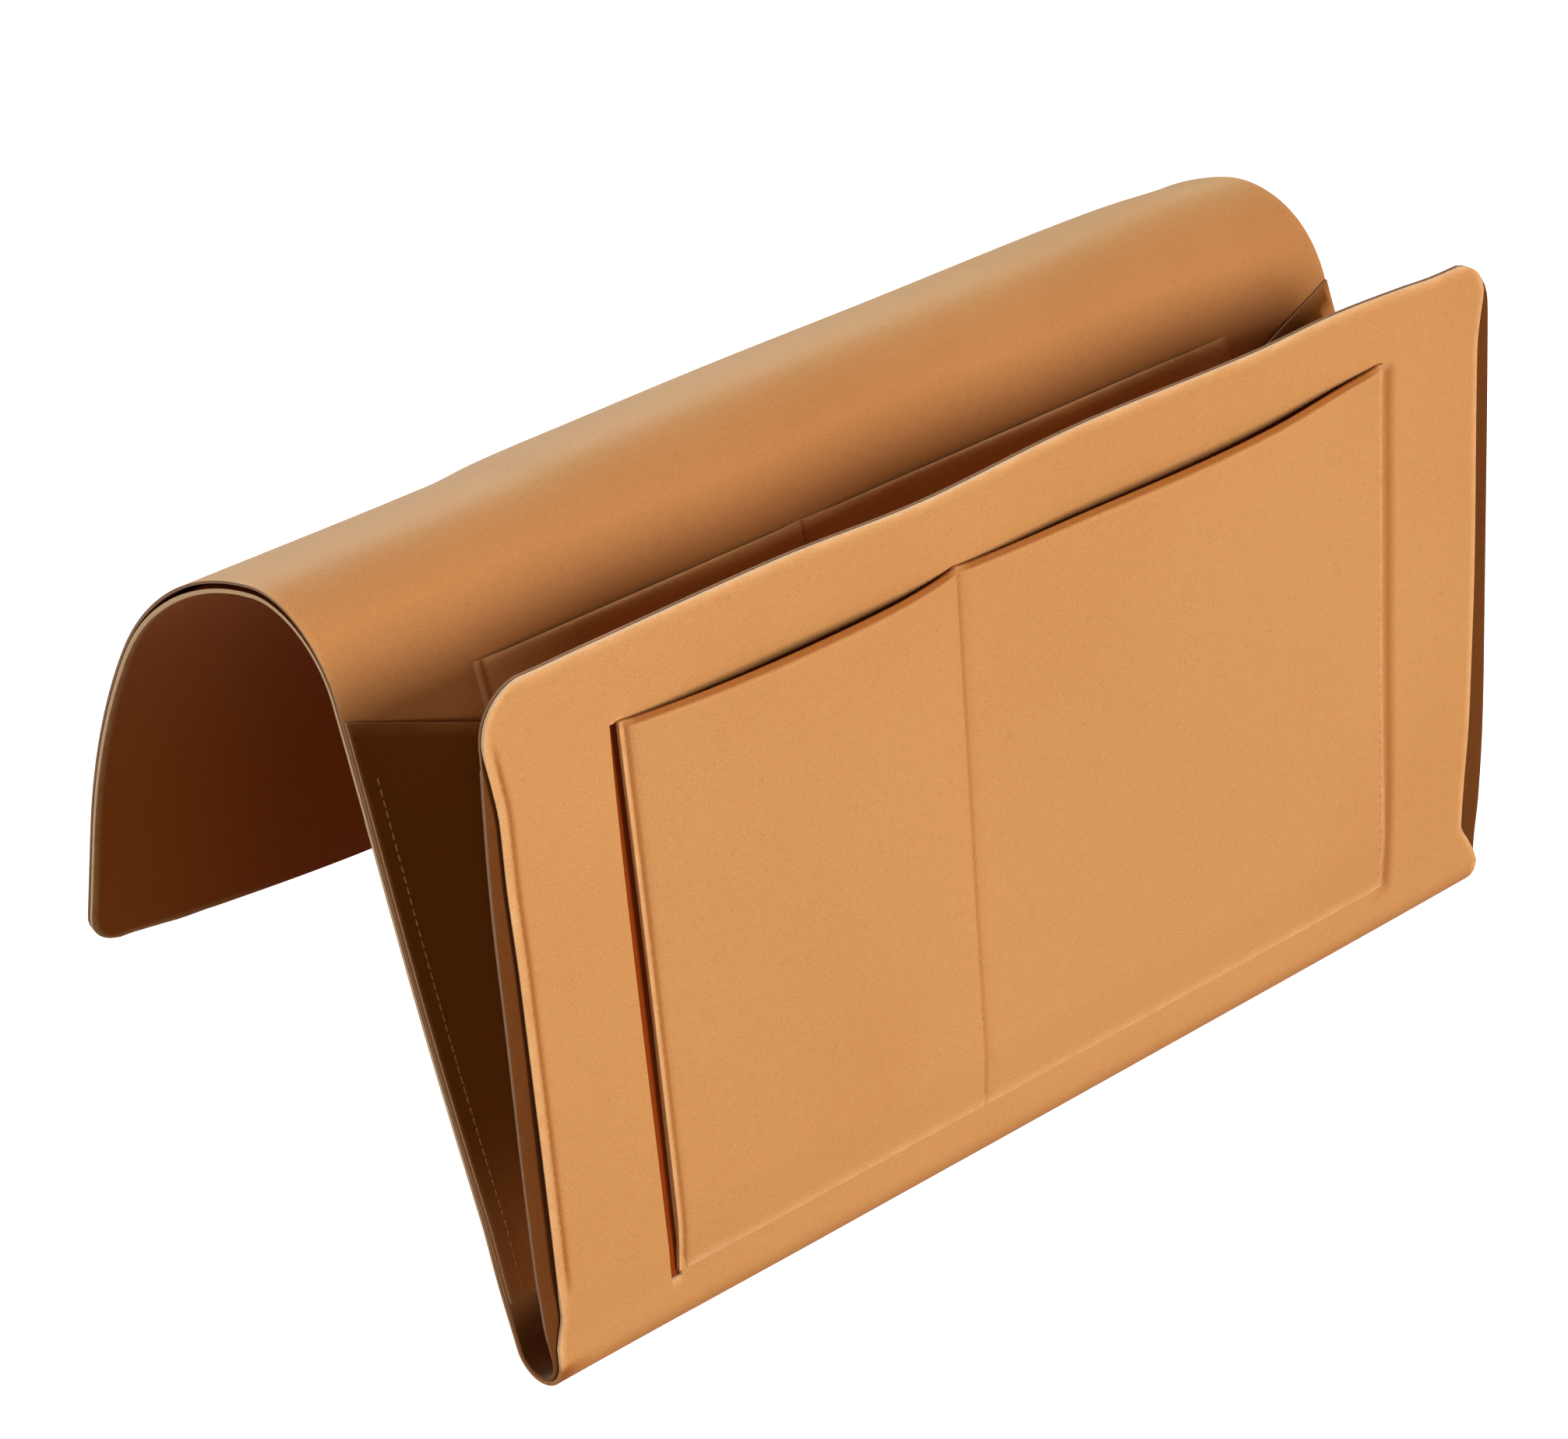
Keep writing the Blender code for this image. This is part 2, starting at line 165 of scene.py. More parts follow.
@dataclass
class Slack:
    """How the soft leather departs from the drape's plain section."""

    crown: Points = (
        (-0.200, -0.0005), (-0.107, -0.0003), (-0.089, 0.0010), (-0.053, 0.0016), (0.004, 0.0022),
        (0.070, 0.0020), (0.136, 0.0021), (0.169, 0.0014), (0.200, -0.0005))
    edge_wave: Points = (
        (-0.200, 0.0010), (-0.166, 0.0013), (-0.092, 0.0019), (-0.039, -0.0001), (0.022, 0.0022),
        (0.098, 0.0005), (0.135, 0.0013), (0.188, -0.0010))
    crown_span: Span = (-0.115, -0.060, -0.010, 0.045)
    shoulder_swell: float = 0.0036
    shoulder_span: Span = (-0.060, 0.004, 0.066, 0.130)
    leg_bow: float = 0.0020
    leg_span: Span = (0.040, 0.145, 0.150, 0.246)
    flap_swing: float = 0.010
    flap_ramp: float = 0.105
    panel_swell: float = 0.0007
    panel_span: Span = (0.300, 0.380, 0.460, 0.500)
    left_rise: float = 0.0016
    right_drop: float = 0.0015
    hem_rise: float = 0.0020
    fold_reach: float = 0.15
    edge_reach: float = 0.070
    fold_square: float = 0.0010
    fold_draw: float = 0.0012

    def lift(self, x: float, run: float) -> float:
        """Extra depth of the sheet.

        Args:
            x: Place along the arm.
            run: Place along the drape, from the crown forward.

        Returns:
            The height above the plain section, outward.
        """
        lift = along_points(self.crown, x) * hill(run, *self.crown_span)
        lift += self.shoulder_swell * ease(0.100, 0.198, x) * hill(run, *self.shoulder_span)
        lift -= self.leg_bow * hill(run, *self.leg_span)
        inboard = levelled((HALF_WIDTH - abs(x)) / self.flap_ramp)
        lift -= self.flap_swing * inboard * ease(-0.095, -0.262, run)
        swell = sin(pi * (x + 0.03) / 0.13) * 0.6 + sin(pi * (x - 0.02) / 0.074) * 0.4
        lift -= self.panel_swell * swell * hill(run, *self.panel_span)
        return lift

    def rise(self, x: float, from_fold: float) -> float:
        """How far the fold and the leather beside it stand up at the left and sag at the right."""
        tilt = self.left_rise * ease(-0.02, 0.20, -x) - self.right_drop * ease(-0.06, 0.20, x)
        return tilt * (1 - ease(0.0, self.fold_reach, from_fold))

    def stretch(self, x: float, run: float, top: float) -> float:
        """How far the panel's top edge and the hem's left corner stand above their plain lines."""
        outboard = min(1.0, max(0.0, (-x - HALF_WIDTH + self.flap_ramp) / self.flap_ramp))
        hem = self.hem_rise * outboard * ease(-0.120, -0.260, run)
        return along_points(self.edge_wave, x) * ease(top - self.edge_reach, top, run) + hem


@dataclass
class Drape:
    """The drape's section, measured along its middle line from the crown, forward."""

    half_width: float = HALF_WIDTH
    leather: float = 0.0010
    lining: float = 0.0015
    ply_gap: float = 0.0003
    fit_gap: float = 0.0003
    shoulder_radius: float = 0.0335
    shoulder_back: float = radians(9.3)
    top_radius: float = 0.128
    top_turn: float = radians(43.6)
    back_radius: float = 0.295
    back_turn: float = radians(18.2)
    hem_length: float = 0.055
    leg_tilt: float = radians(14.8)
    leg_length: float = 0.205
    fold_radius: float = 0.0098
    panel_length: float = 0.2244
    hinge_gap: float = 0.0007
    easing: float = 0.0028
    step: float = 0.0005
    slack: Slack = field(default_factory=Slack)

    def __post_init__(self) -> None:
        """Lays the bends end to end and walks the line both ways from the crown."""
        self.bends: list[tuple[float, float, float]] = []
        shoulder = self.shoulder_radius * (pi / 2 - self.leg_tilt)
        back = -self.shoulder_radius * self.shoulder_back
        self.bends.append((back, shoulder, 1 / self.shoulder_radius))
        top = back - self.top_radius * self.top_turn
        self.bends.append((top, back, 1 / self.top_radius))
        self.flap_line = top - self.hinge_gap / 2
        flap = top - self.hinge_gap
        hem = flap - self.back_radius * self.back_turn
        self.bends.append((hem, flap, 1 / self.back_radius))
        self.rear_end = hem - self.hem_length
        self.leg_line = shoulder + self.hinge_gap / 2
        self.leg_head = shoulder + self.hinge_gap
        self.leg_foot = self.leg_head + self.leg_length
        fold = self.leg_foot + self.fit_gap
        fold_end = fold + self.fold_radius * (pi - self.leg_tilt)
        self.bends.append((fold, fold_end, -1 / self.fold_radius))
        self.fold_start = fold
        self.panel_foot = fold_end + self.hinge_gap
        self.panel_head = self.panel_foot + self.panel_length
        self.inside = self.ply_gap / 2
        self.outside = self.inside + self.leather
        self.face = self.inside + self.lining
        ahead = self._walk(self.panel_head + 0.010, 1)
        behind = self._walk(-self.rear_end + 0.010, -1)
        self.line = behind[:0:-1] + ahead
        self.line_start = -(len(behind) - 1) * self.step

    def _curvature(self, run: float) -> float:
        """Curvature of the middle line, eased at both ends of each bend."""
        total = 0.0
        for start, end, curve in self.bends:
            rise = ease(start - self.easing, start + self.easing, run)
            fall = ease(end - self.easing, end + self.easing, run)
            total += curve * (rise - fall)
        return total

    def _walk(self, length: float, way: int) -> list[tuple[float, float, float]]:
        """Places (y, z, heading) every step from the crown; way is 1 forward and -1 rearward."""
        y, z, heading = 0.0, self.outside, pi
        places = [(y, z, heading)]
        for index in range(round(length / self.step)):
            middle = (index + 0.5) * self.step * way
            turned = heading + self._curvature(middle) * self.step * way / 2
            y += cos(turned) * self.step * way
            z += sin(turned) * self.step * way
            heading += self._curvature(middle) * self.step * way
            places.append((y, z, heading))
        return places

    def frame_at(self, run: float) -> tuple[Vector, Vector, Vector]:
        """The place on the middle line at run, its direction and its outer side."""
        share = (run - self.line_start) / self.step
        index = min(len(self.line) - 2, max(0, int(share)))
        share -= index
        here, there = self.line[index], self.line[index + 1]
        y, z, heading = (a + (b - a) * share for a, b in zip(here, there))
        along = Vector((0, cos(heading), sin(heading)))
        return Vector((0, y, z)), along, Vector((0, along.z, -along.y))

    def at(self, x: float, run: float, depth: float) -> Vector:
        """World place of a point of the sheet.

        Args:
            x: Place along the arm.
            run: Place along the drape, from the crown forward.
            depth: Height above the middle line, outward.

        Returns:
            The point, with the leather's slack.
        """
        spot, _, outward = self.frame_at(run)
        drawn = self._drawn_in(run) * ease(self.half_width / 2, self.half_width, -x)
        place = spot + outward * (depth + self.slack.lift(x, run) + drawn)
        from_fold = max(0.0, self.leg_foot - run, run - self.panel_foot)
        return Vector((x, place.y, place.z + self.slack.rise(x, from_fold)))

    def _drawn_in(self, run: float) -> float:
        """How far the fold's left end is drawn in under the panel, and pushed out under the leg."""
        middle = (self.fold_start + self.panel_foot) / 2
        pulled = hill(run, middle, self.panel_foot - 0.002, self.panel_foot + 0.004,
                      self.panel_foot + 0.022)
        pushed = hill(run, self.fold_start - 0.002, middle - 0.008, middle - 0.006, middle + 0.003)
        return self.slack.fold_draw * pulled - self.slack.fold_square * pushed

    def leg(self, height: float) -> float:
        """Run of a place on the leg, height above the fold."""
        return self.leg_foot - height

    def panel(self, height: float) -> float:
        """Run of a place on the front panel, height above the fold."""
        return self.panel_foot + height

    def leg_at(self, x: float, height: float, depth: float) -> Vector:
        """A point before the leg, height above the fold."""
        return self.at(x, self.leg(height), depth)

    def panel_at(self, x: float, height: float, depth: float) -> Vector:
        """A point before or behind the front panel, height above the fold."""
        run = self.panel(height)
        return self.at(x, run + self.slack.stretch(x, run, self.panel_head), depth)


class ShaderGroup:
    """A shader node group with named sockets, built once and placed in each material."""

    def __init__(self, name: str) -> None:
        """Starts an empty group of that name."""
        self.tree = bpy.data.node_groups.new(name, "ShaderNodeTree")
        self.inlet = self.tree.nodes.new("NodeGroupInput")
        self.outlet = self.tree.nodes.new("NodeGroupOutput")

    def takes(self, name: str, value: float | tuple[float, ...]) -> bpy.types.NodeSocket:
        """Adds a number or colour input with its starting value, and returns its inner side."""
        kind = "NodeSocketColor" if isinstance(value, tuple) else "NodeSocketFloat"
        made = self.tree.interface.new_socket(name, in_out="INPUT", socket_type=kind)
        made.default_value = value
        return self.inlet.outputs[name]

    def gives(self, name: str, kind: str, source: bpy.types.NodeSocket) -> None:
        """Adds an output socket fed by source."""
        self.tree.interface.new_socket(name, in_out="OUTPUT", socket_type=kind)
        self.tree.links.new(source, self.outlet.inputs[name])

    def node(self, kind: str, settings: dict[str, object], **inputs: Source) -> bpy.types.Node:
        """Adds a node.

        Args:
            kind: The node's type.
            settings: Its properties.
            inputs: A socket or plain value for each input, with _ for a space in its name.

        Returns:
            The node.
        """
        node = add_node(self.tree, kind, **settings)
        for name, source in inputs.items():
            self.feed(node.inputs[name.replace("_", " ")], source)
        return node

    def feed(self, target: bpy.types.NodeSocket, source: Source) -> None:
        """Joins a socket to target, or sets target's plain value."""
        if isinstance(source, bpy.types.NodeSocket):
            self.tree.links.new(source, target)
        else:
            target.default_value = source

    def place(self) -> bpy.types.NodeSocket:
        """The object's own coordinates."""
        return self.node("ShaderNodeTexCoord", {}).outputs["Object"]

    def attribute(self, name: str) -> bpy.types.NodeSocket:
        """A value that the mesh carries at each point."""
        return self.node("ShaderNodeAttribute", {"attribute_name": name}).outputs["Fac"]

    def noise(self, place: Source, scale: Source, detail: float, roughness: float = 0.5,
              result: str = "Fac") -> bpy.types.NodeSocket:
        """Soft noise over a place."""
        return self.node("ShaderNodeTexNoise", {}, Vector=place, Scale=scale, Detail=detail,
                         Roughness=roughness).outputs[result]

    def ramp(self, source: Source, low: float, high: float, top: float = 1.0,
             kind: str = "SMOOTHSTEP") -> bpy.types.NodeSocket:
        """Source, taken from low to high, as 0 to top."""
        return self.node("ShaderNodeMapRange", {"interpolation_type": kind}, Value=source,
                         From_Min=low, From_Max=high, To_Max=top).outputs["Result"]

    def sum(self, operation: str, *terms: Source, clamp: bool = False) -> bpy.types.NodeSocket:
        """A Math node's result."""
        node = self.node("ShaderNodeMath", {"operation": operation, "use_clamp": clamp})
        for target, source in zip(node.inputs, terms):
            self.feed(target, source)
        return node.outputs["Value"]

    def mixed(self, factor: Source, first: Source, second: Source, blend: str = "MIX",
              kind: str = "RGBA") -> bpy.types.NodeSocket:
        """First turned toward second by factor."""
        settings = {"data_type": kind} | ({"blend_type": blend} if kind == "RGBA" else {})
        return self.node("ShaderNodeMix", settings, Factor=factor, A=first,
                         B=second).outputs["Result"]


def add_node(tree: bpy.types.NodeTree, kind: str, **settings: object) -> bpy.types.Node:
    """Adds a shader node to a tree and sets its properties."""
    node = tree.nodes.new(kind)
    for name, value in settings.items():
        setattr(node, name, value)
    return node


def set_values(node: bpy.types.Node, values: dict[str, float | tuple[float, ...]]) -> None:
    """Sets a node's inputs by name; a colour of three numbers gets its alpha."""
    for name, value in values.items():
        colour = isinstance(value, tuple) and len(value) == 3
        node.inputs[name].default_value = (*value, 1) if colour else value


class LeatherGroups:
    """The effects that the leather finishes share."""

    def __init__(self) -> None:
        """Builds each group once."""
        self.grain = self._grain()
        self.tone = self._tone()
        self.wear = self._wear()

    def _grain(self) -> bpy.types.NodeTree:
        """Fine pebbled grain with pores and soft creases, as a height and a mask of the pores."""
        warp_scale, warp_reach, crease_scale = 60.0, 0.004, 210.0
        pebble_rim, pore_rim = 0.32, 0.10
        group = ShaderGroup("leather_grain")
        scale = group.takes("Pebbles per metre", 900.0)
        crease_share = group.takes("Crease", 0.35)
        place = group.place()
        warp = group.noise(place, warp_scale, 2.0, result="Color")
        shift = group.node("ShaderNodeVectorMath", {"operation": "SCALE"}, Vector=warp,
                           Scale=warp_reach)
        moved = group.node("ShaderNodeVectorMath", {"operation": "ADD"})
        group.feed(moved.inputs[0], place)
        group.feed(moved.inputs[1], shift.outputs["Vector"])
        cells = group.node("ShaderNodeTexVoronoi", {"feature": "DISTANCE_TO_EDGE"},
                           Vector=moved.outputs["Vector"], Scale=scale).outputs["Distance"]
        pebbles = group.ramp(cells, 0.0, pebble_rim)
        creases = group.noise(moved.outputs["Vector"], crease_scale, 4.0, 0.6)
        height = group.mixed(crease_share, pebbles, creases, kind="FLOAT")
        group.gives("Height", "NodeSocketFloat", height)
        group.gives("Pores", "NodeSocketFloat", group.ramp(cells, pore_rim, 0.0))
        return group.tree

    def _tone(self) -> bpy.types.NodeTree:
        """Colour that drifts between two tones over the hide, broken up by small flecks, with painted shade:
        turned toward a shade tone and multiplied darker by two mesh attributes.
        """
        fleck_scale, fleck_share, drift_share = 420.0, 0.35, 0.65
        group = ShaderGroup("hide_tone")
        base = group.takes("Base", (0.6, 0.3, 0.12, 1))
        deep = group.takes("Deep", (0.5, 0.24, 0.09, 1))
        # Painted shade: the tone that places in painted shade are turned toward.
        darkened = group.takes("Arm side", (0.6, 0.17, 0.025, 1))
        # Painted shade: the colour that multiplies places in painted shade darker.
        worn = group.takes("Worn", (0.60, 0.42, 0.27, 1))
        patch = group.takes("Patches per metre", 9.0)
        place = group.place()
        drift = group.ramp(group.noise(place, patch, 3.0), 0.38, 0.66)
        flecks = group.ramp(group.noise(place, fleck_scale, 2.0), 0.3, 0.75, fleck_share, "LINEAR")
        depth = group.sum("ADD", group.sum("MULTIPLY", drift, drift_share), flecks, clamp=True)
        # Painted shade: one mesh attribute turns the colour toward the shade tone, another multiplies it
        # darker.
        turned = group.mixed(group.attribute("arm_side"), group.mixed(depth, base, deep), darkened)
        shade_painted_colour = group.mixed(group.attribute("creased"), turned, worn, "MULTIPLY")
        group.gives("Colour", "NodeSocketColor", shade_painted_colour)
        return group.tree

    def _wear(self) -> bpy.types.NodeTree:
        """Rubbed colour and gloss along the cut edges, broken by noise, and darker pores."""
        break_scale, pore_colour, pore_depth = 130.0, (0.30, 0.18, 0.10, 1), 0.16
        edge_gloss, pore_dullness = -0.12, 0.10
        group = ShaderGroup("edge_wear")
        colour = group.takes("Colour", (0.6, 0.3, 0.12, 1))
        rubbed = group.takes("Rubbed", (0.7, 0.4, 0.2, 1))
        amount = group.takes("Amount", 0.5)
        pores = group.takes("Pores", 0.0)
        rough = group.takes("Roughness", 0.5)
        breaks = group.noise(group.place(), break_scale, 3.0)
        broken = group.sum("MULTIPLY", group.attribute("edge_near"), breaks)
        share = group.sum("MULTIPLY", broken, amount, clamp=True)
        shaded = group.mixed(group.sum("MULTIPLY", pores, pore_depth),
                             group.mixed(share, colour, rubbed), pore_colour, "MULTIPLY")
        smoother = group.sum("MULTIPLY_ADD", share, edge_gloss, rough)
        duller = group.sum("MULTIPLY_ADD", pores, pore_dullness, smoother, clamp=True)
        group.gives("Colour", "NodeSocketColor", shaded)
        group.gives("Roughness", "NodeSocketFloat", duller)
        return group.tree


@dataclass(frozen=True)
class Leather:
    """A leather surface: its tones as linear RGB, its grain and its gloss."""

    name: str
    base: tuple[float, float, float]
    deep: tuple[float, float, float]
    rubbed: tuple[float, float, float]
    pebbles: float = 850.0
    crease: float = 0.35
    grain_depth: float = 0.00005
    patches: float = 9.0
    wear: float = 0.5
    roughness: float = 0.46
    specular: float = 0.5
    sheen: float = 0.0
    sheen_roughness: float = 0.5
    sheen_tint: tuple[float, float, float] = (1.0, 0.86, 0.55)
    # Painted shade: the tone that places in painted shade are turned toward.
    arm_side: tuple[float, float, float] = (0.60, 0.150, 0.018)
    # Painted shade: the colour that multiplies places in painted shade darker.
    worn: tuple[float, float, float] = (0.60, 0.42, 0.27)

    def material(self, groups: LeatherGroups) -> bpy.types.Material:
        """Builds the finish, or gives the one already built.

        Args:
            groups: The effects that the leathers share.

        Returns:
            The material.
        """
        if self.name in bpy.data.materials:
            return bpy.data.materials[self.name]
        made = bpy.data.materials.new(self.name)
        made.use_nodes = True
        tree = made.node_tree
        shader = tree.nodes["Principled BSDF"]
        grain = add_node(tree, "ShaderNodeGroup", node_tree=groups.grain)
        set_values(grain, {"Pebbles per metre": self.pebbles, "Crease": self.crease})
        tone = add_node(tree, "ShaderNodeGroup", node_tree=groups.tone)
        set_values(tone, {"Base": self.base, "Deep": self.deep, "Arm side": self.arm_side,
                          "Worn": self.worn, "Patches per metre": self.patches})
        wear = add_node(tree, "ShaderNodeGroup", node_tree=groups.wear)
        set_values(wear, {"Rubbed": self.rubbed, "Amount": self.wear, "Roughness": self.roughness})
        bump = add_node(tree, "ShaderNodeBump")
        set_values(bump, {"Strength": 1.0, "Distance": self.grain_depth})
        link = tree.links.new
        link(tone.outputs["Colour"], wear.inputs["Colour"])
        link(grain.outputs["Pores"], wear.inputs["Pores"])
        link(wear.outputs["Colour"], shader.inputs["Base Color"])
        link(wear.outputs["Roughness"], shader.inputs["Roughness"])
        link(grain.outputs["Height"], bump.inputs["Height"])
        link(bump.outputs["Normal"], shader.inputs["Normal"])
        set_values(shader, {"Specular IOR Level": self.specular, "Sheen Weight": self.sheen,
                            "Sheen Roughness": self.sheen_roughness, "Sheen Tint": self.sheen_tint})
        return made


@dataclass(frozen=True)
class Thread:
    """Twisted sewing thread."""

    name: str
    base: tuple[float, float, float]
    shade: tuple[float, float, float]
    bands_per_metre: float = 150.0
    twist_depth: float = 0.0001
    roughness: float = 0.62
    specular: float = 0.1

    def material(self) -> bpy.types.Material:
        """Builds the thread's finish, or gives the one already built."""
        if self.name in bpy.data.materials:
            return bpy.data.materials[self.name]
        made = bpy.data.materials.new(self.name)
        made.use_nodes = True
        tree = made.node_tree
        shader = tree.nodes["Principled BSDF"]
        place = add_node(tree, "ShaderNodeTexCoord")
        twist = add_node(tree, "ShaderNodeTexWave", wave_type="BANDS", bands_direction="DIAGONAL")
        set_values(twist, {"Scale": self.bands_per_metre, "Distortion": 1.0})
        colour = add_node(tree, "ShaderNodeMix", data_type="RGBA")
        set_values(colour, {"A": self.shade, "B": self.base})
        bump = add_node(tree, "ShaderNodeBump")
        set_values(bump, {"Distance": self.twist_depth})
        link = tree.links.new
        link(place.outputs["Object"], twist.inputs["Vector"])
        link(twist.outputs["Fac"], colour.inputs["Factor"])
        link(colour.outputs["Result"], shader.inputs["Base Color"])
        link(twist.outputs["Fac"], bump.inputs["Height"])
        link(bump.outputs["Normal"], shader.inputs["Normal"])
        set_values(shader, {"Roughness": self.roughness, "Specular IOR Level": self.specular})
        return made


@dataclass(frozen=True)
class Hide:
    """The three finishes that a cut piece of leather shows."""

    grain: Leather
    flesh: Leather
    edge: Leather


class Finishes:
    """Every finish of the organizer."""

    def __init__(self) -> None:
        """Sets the tones and builds the shared groups."""
        self.groups = LeatherGroups()
        # The flesh side's shade tone is a dark russet: it paints the shade in the slot beside the front
        # pocket.
        flesh = Leather("flesh_side_brown", (0.148, 0.045, 0.010), (0.115, 0.033, 0.007),
                        (0.18, 0.064, 0.018), pebbles=1500.0, crease=0.8, roughness=0.85,
                        specular=0.04, arm_side=(0.26, 0.040, 0.004), worn=(1.0, 1.0, 1.0))
        # Its shade tone is lighter than its base: on the gussets' edges, inside their painted shade, it
        # paints a highlight along the edge.
        dark_edge = Leather("burnished_edge_brown", (0.30, 0.160, 0.090), (0.23, 0.110, 0.055),
                            (0.38, 0.24, 0.16), pebbles=1800.0, crease=0.7, grain_depth=0.00003,
                            wear=0.2, roughness=0.6, specular=0.1, arm_side=(0.42, 0.23, 0.12))
        # Its shade tone darkens the lining's cut edges where the lining is painted in shade.
        light_edge = Leather("raw_edge_cream", (0.87, 0.57, 0.32), (0.78, 0.45, 0.22),
                             (0.92, 0.68, 0.42), pebbles=1800.0, crease=0.7, grain_depth=0.00003,
                             wear=0.2, roughness=0.62, specular=0.1, arm_side=(0.66, 0.42, 0.22))
        tan_edge = Leather("cut_edge_tan", (0.60, 0.31, 0.125), (0.50, 0.24, 0.09),
                           (0.68, 0.38, 0.17), pebbles=1800.0, crease=0.7, grain_depth=0.00003,
                           wear=0.2, roughness=0.62, specular=0.1)
        # Its strong darkening colour paints the shade inside the bottom fold.
        cover = Leather("cover_leather_tan", (0.55, 0.232, 0.074), (0.50, 0.202, 0.060),
                        (0.64, 0.33, 0.14), patches=7.0, roughness=0.50, specular=0.05,
                        sheen=0.44, sheen_tint=(1.0, 0.90, 0.50), arm_side=(0.53, 0.22, 0.068),
                        worn=(0.24, 0.12, 0.04))
        # Its shade tone paints the shade on the lining under the drape. Its strong edge rubbing is partly
        # wear and partly a painted highlight along the front panel's edges.
        face = Leather("face_leather_tan", (0.64, 0.296, 0.102), (0.59, 0.262, 0.085),
                       (0.80, 0.42, 0.18), patches=6.0, roughness=0.55, specular=0.03, wear=1.6,
                       arm_side=(0.43, 0.105, 0.012))
        # Its dark shade tone paints the shade inside the gussets' folds.
        gusset = Leather("gusset_leather_brown", (0.56, 0.225, 0.065), (0.48, 0.185, 0.050),
                         (0.64, 0.30, 0.11), patches=14.0, roughness=0.55, specular=0.03,
                         arm_side=(0.20, 0.060, 0.008))
        self.cover = Hide(cover, flesh, dark_edge)
        self.lining = Hide(face, flesh, light_edge)
        self.pocket = Hide(face, flesh, tan_edge)
        self.gusset = Hide(gusset, gusset, dark_edge)
        self.thread = Thread("thread_tan", (0.54, 0.235, 0.075), (0.38, 0.155, 0.045))


def deselect_all() -> None:
    """Leaves object mode with nothing selected."""
    if bpy.context.object and bpy.context.object.mode != "OBJECT":
        bpy.ops.object.mode_set(mode="OBJECT")
    bpy.ops.object.select_all(action="DESELECT")


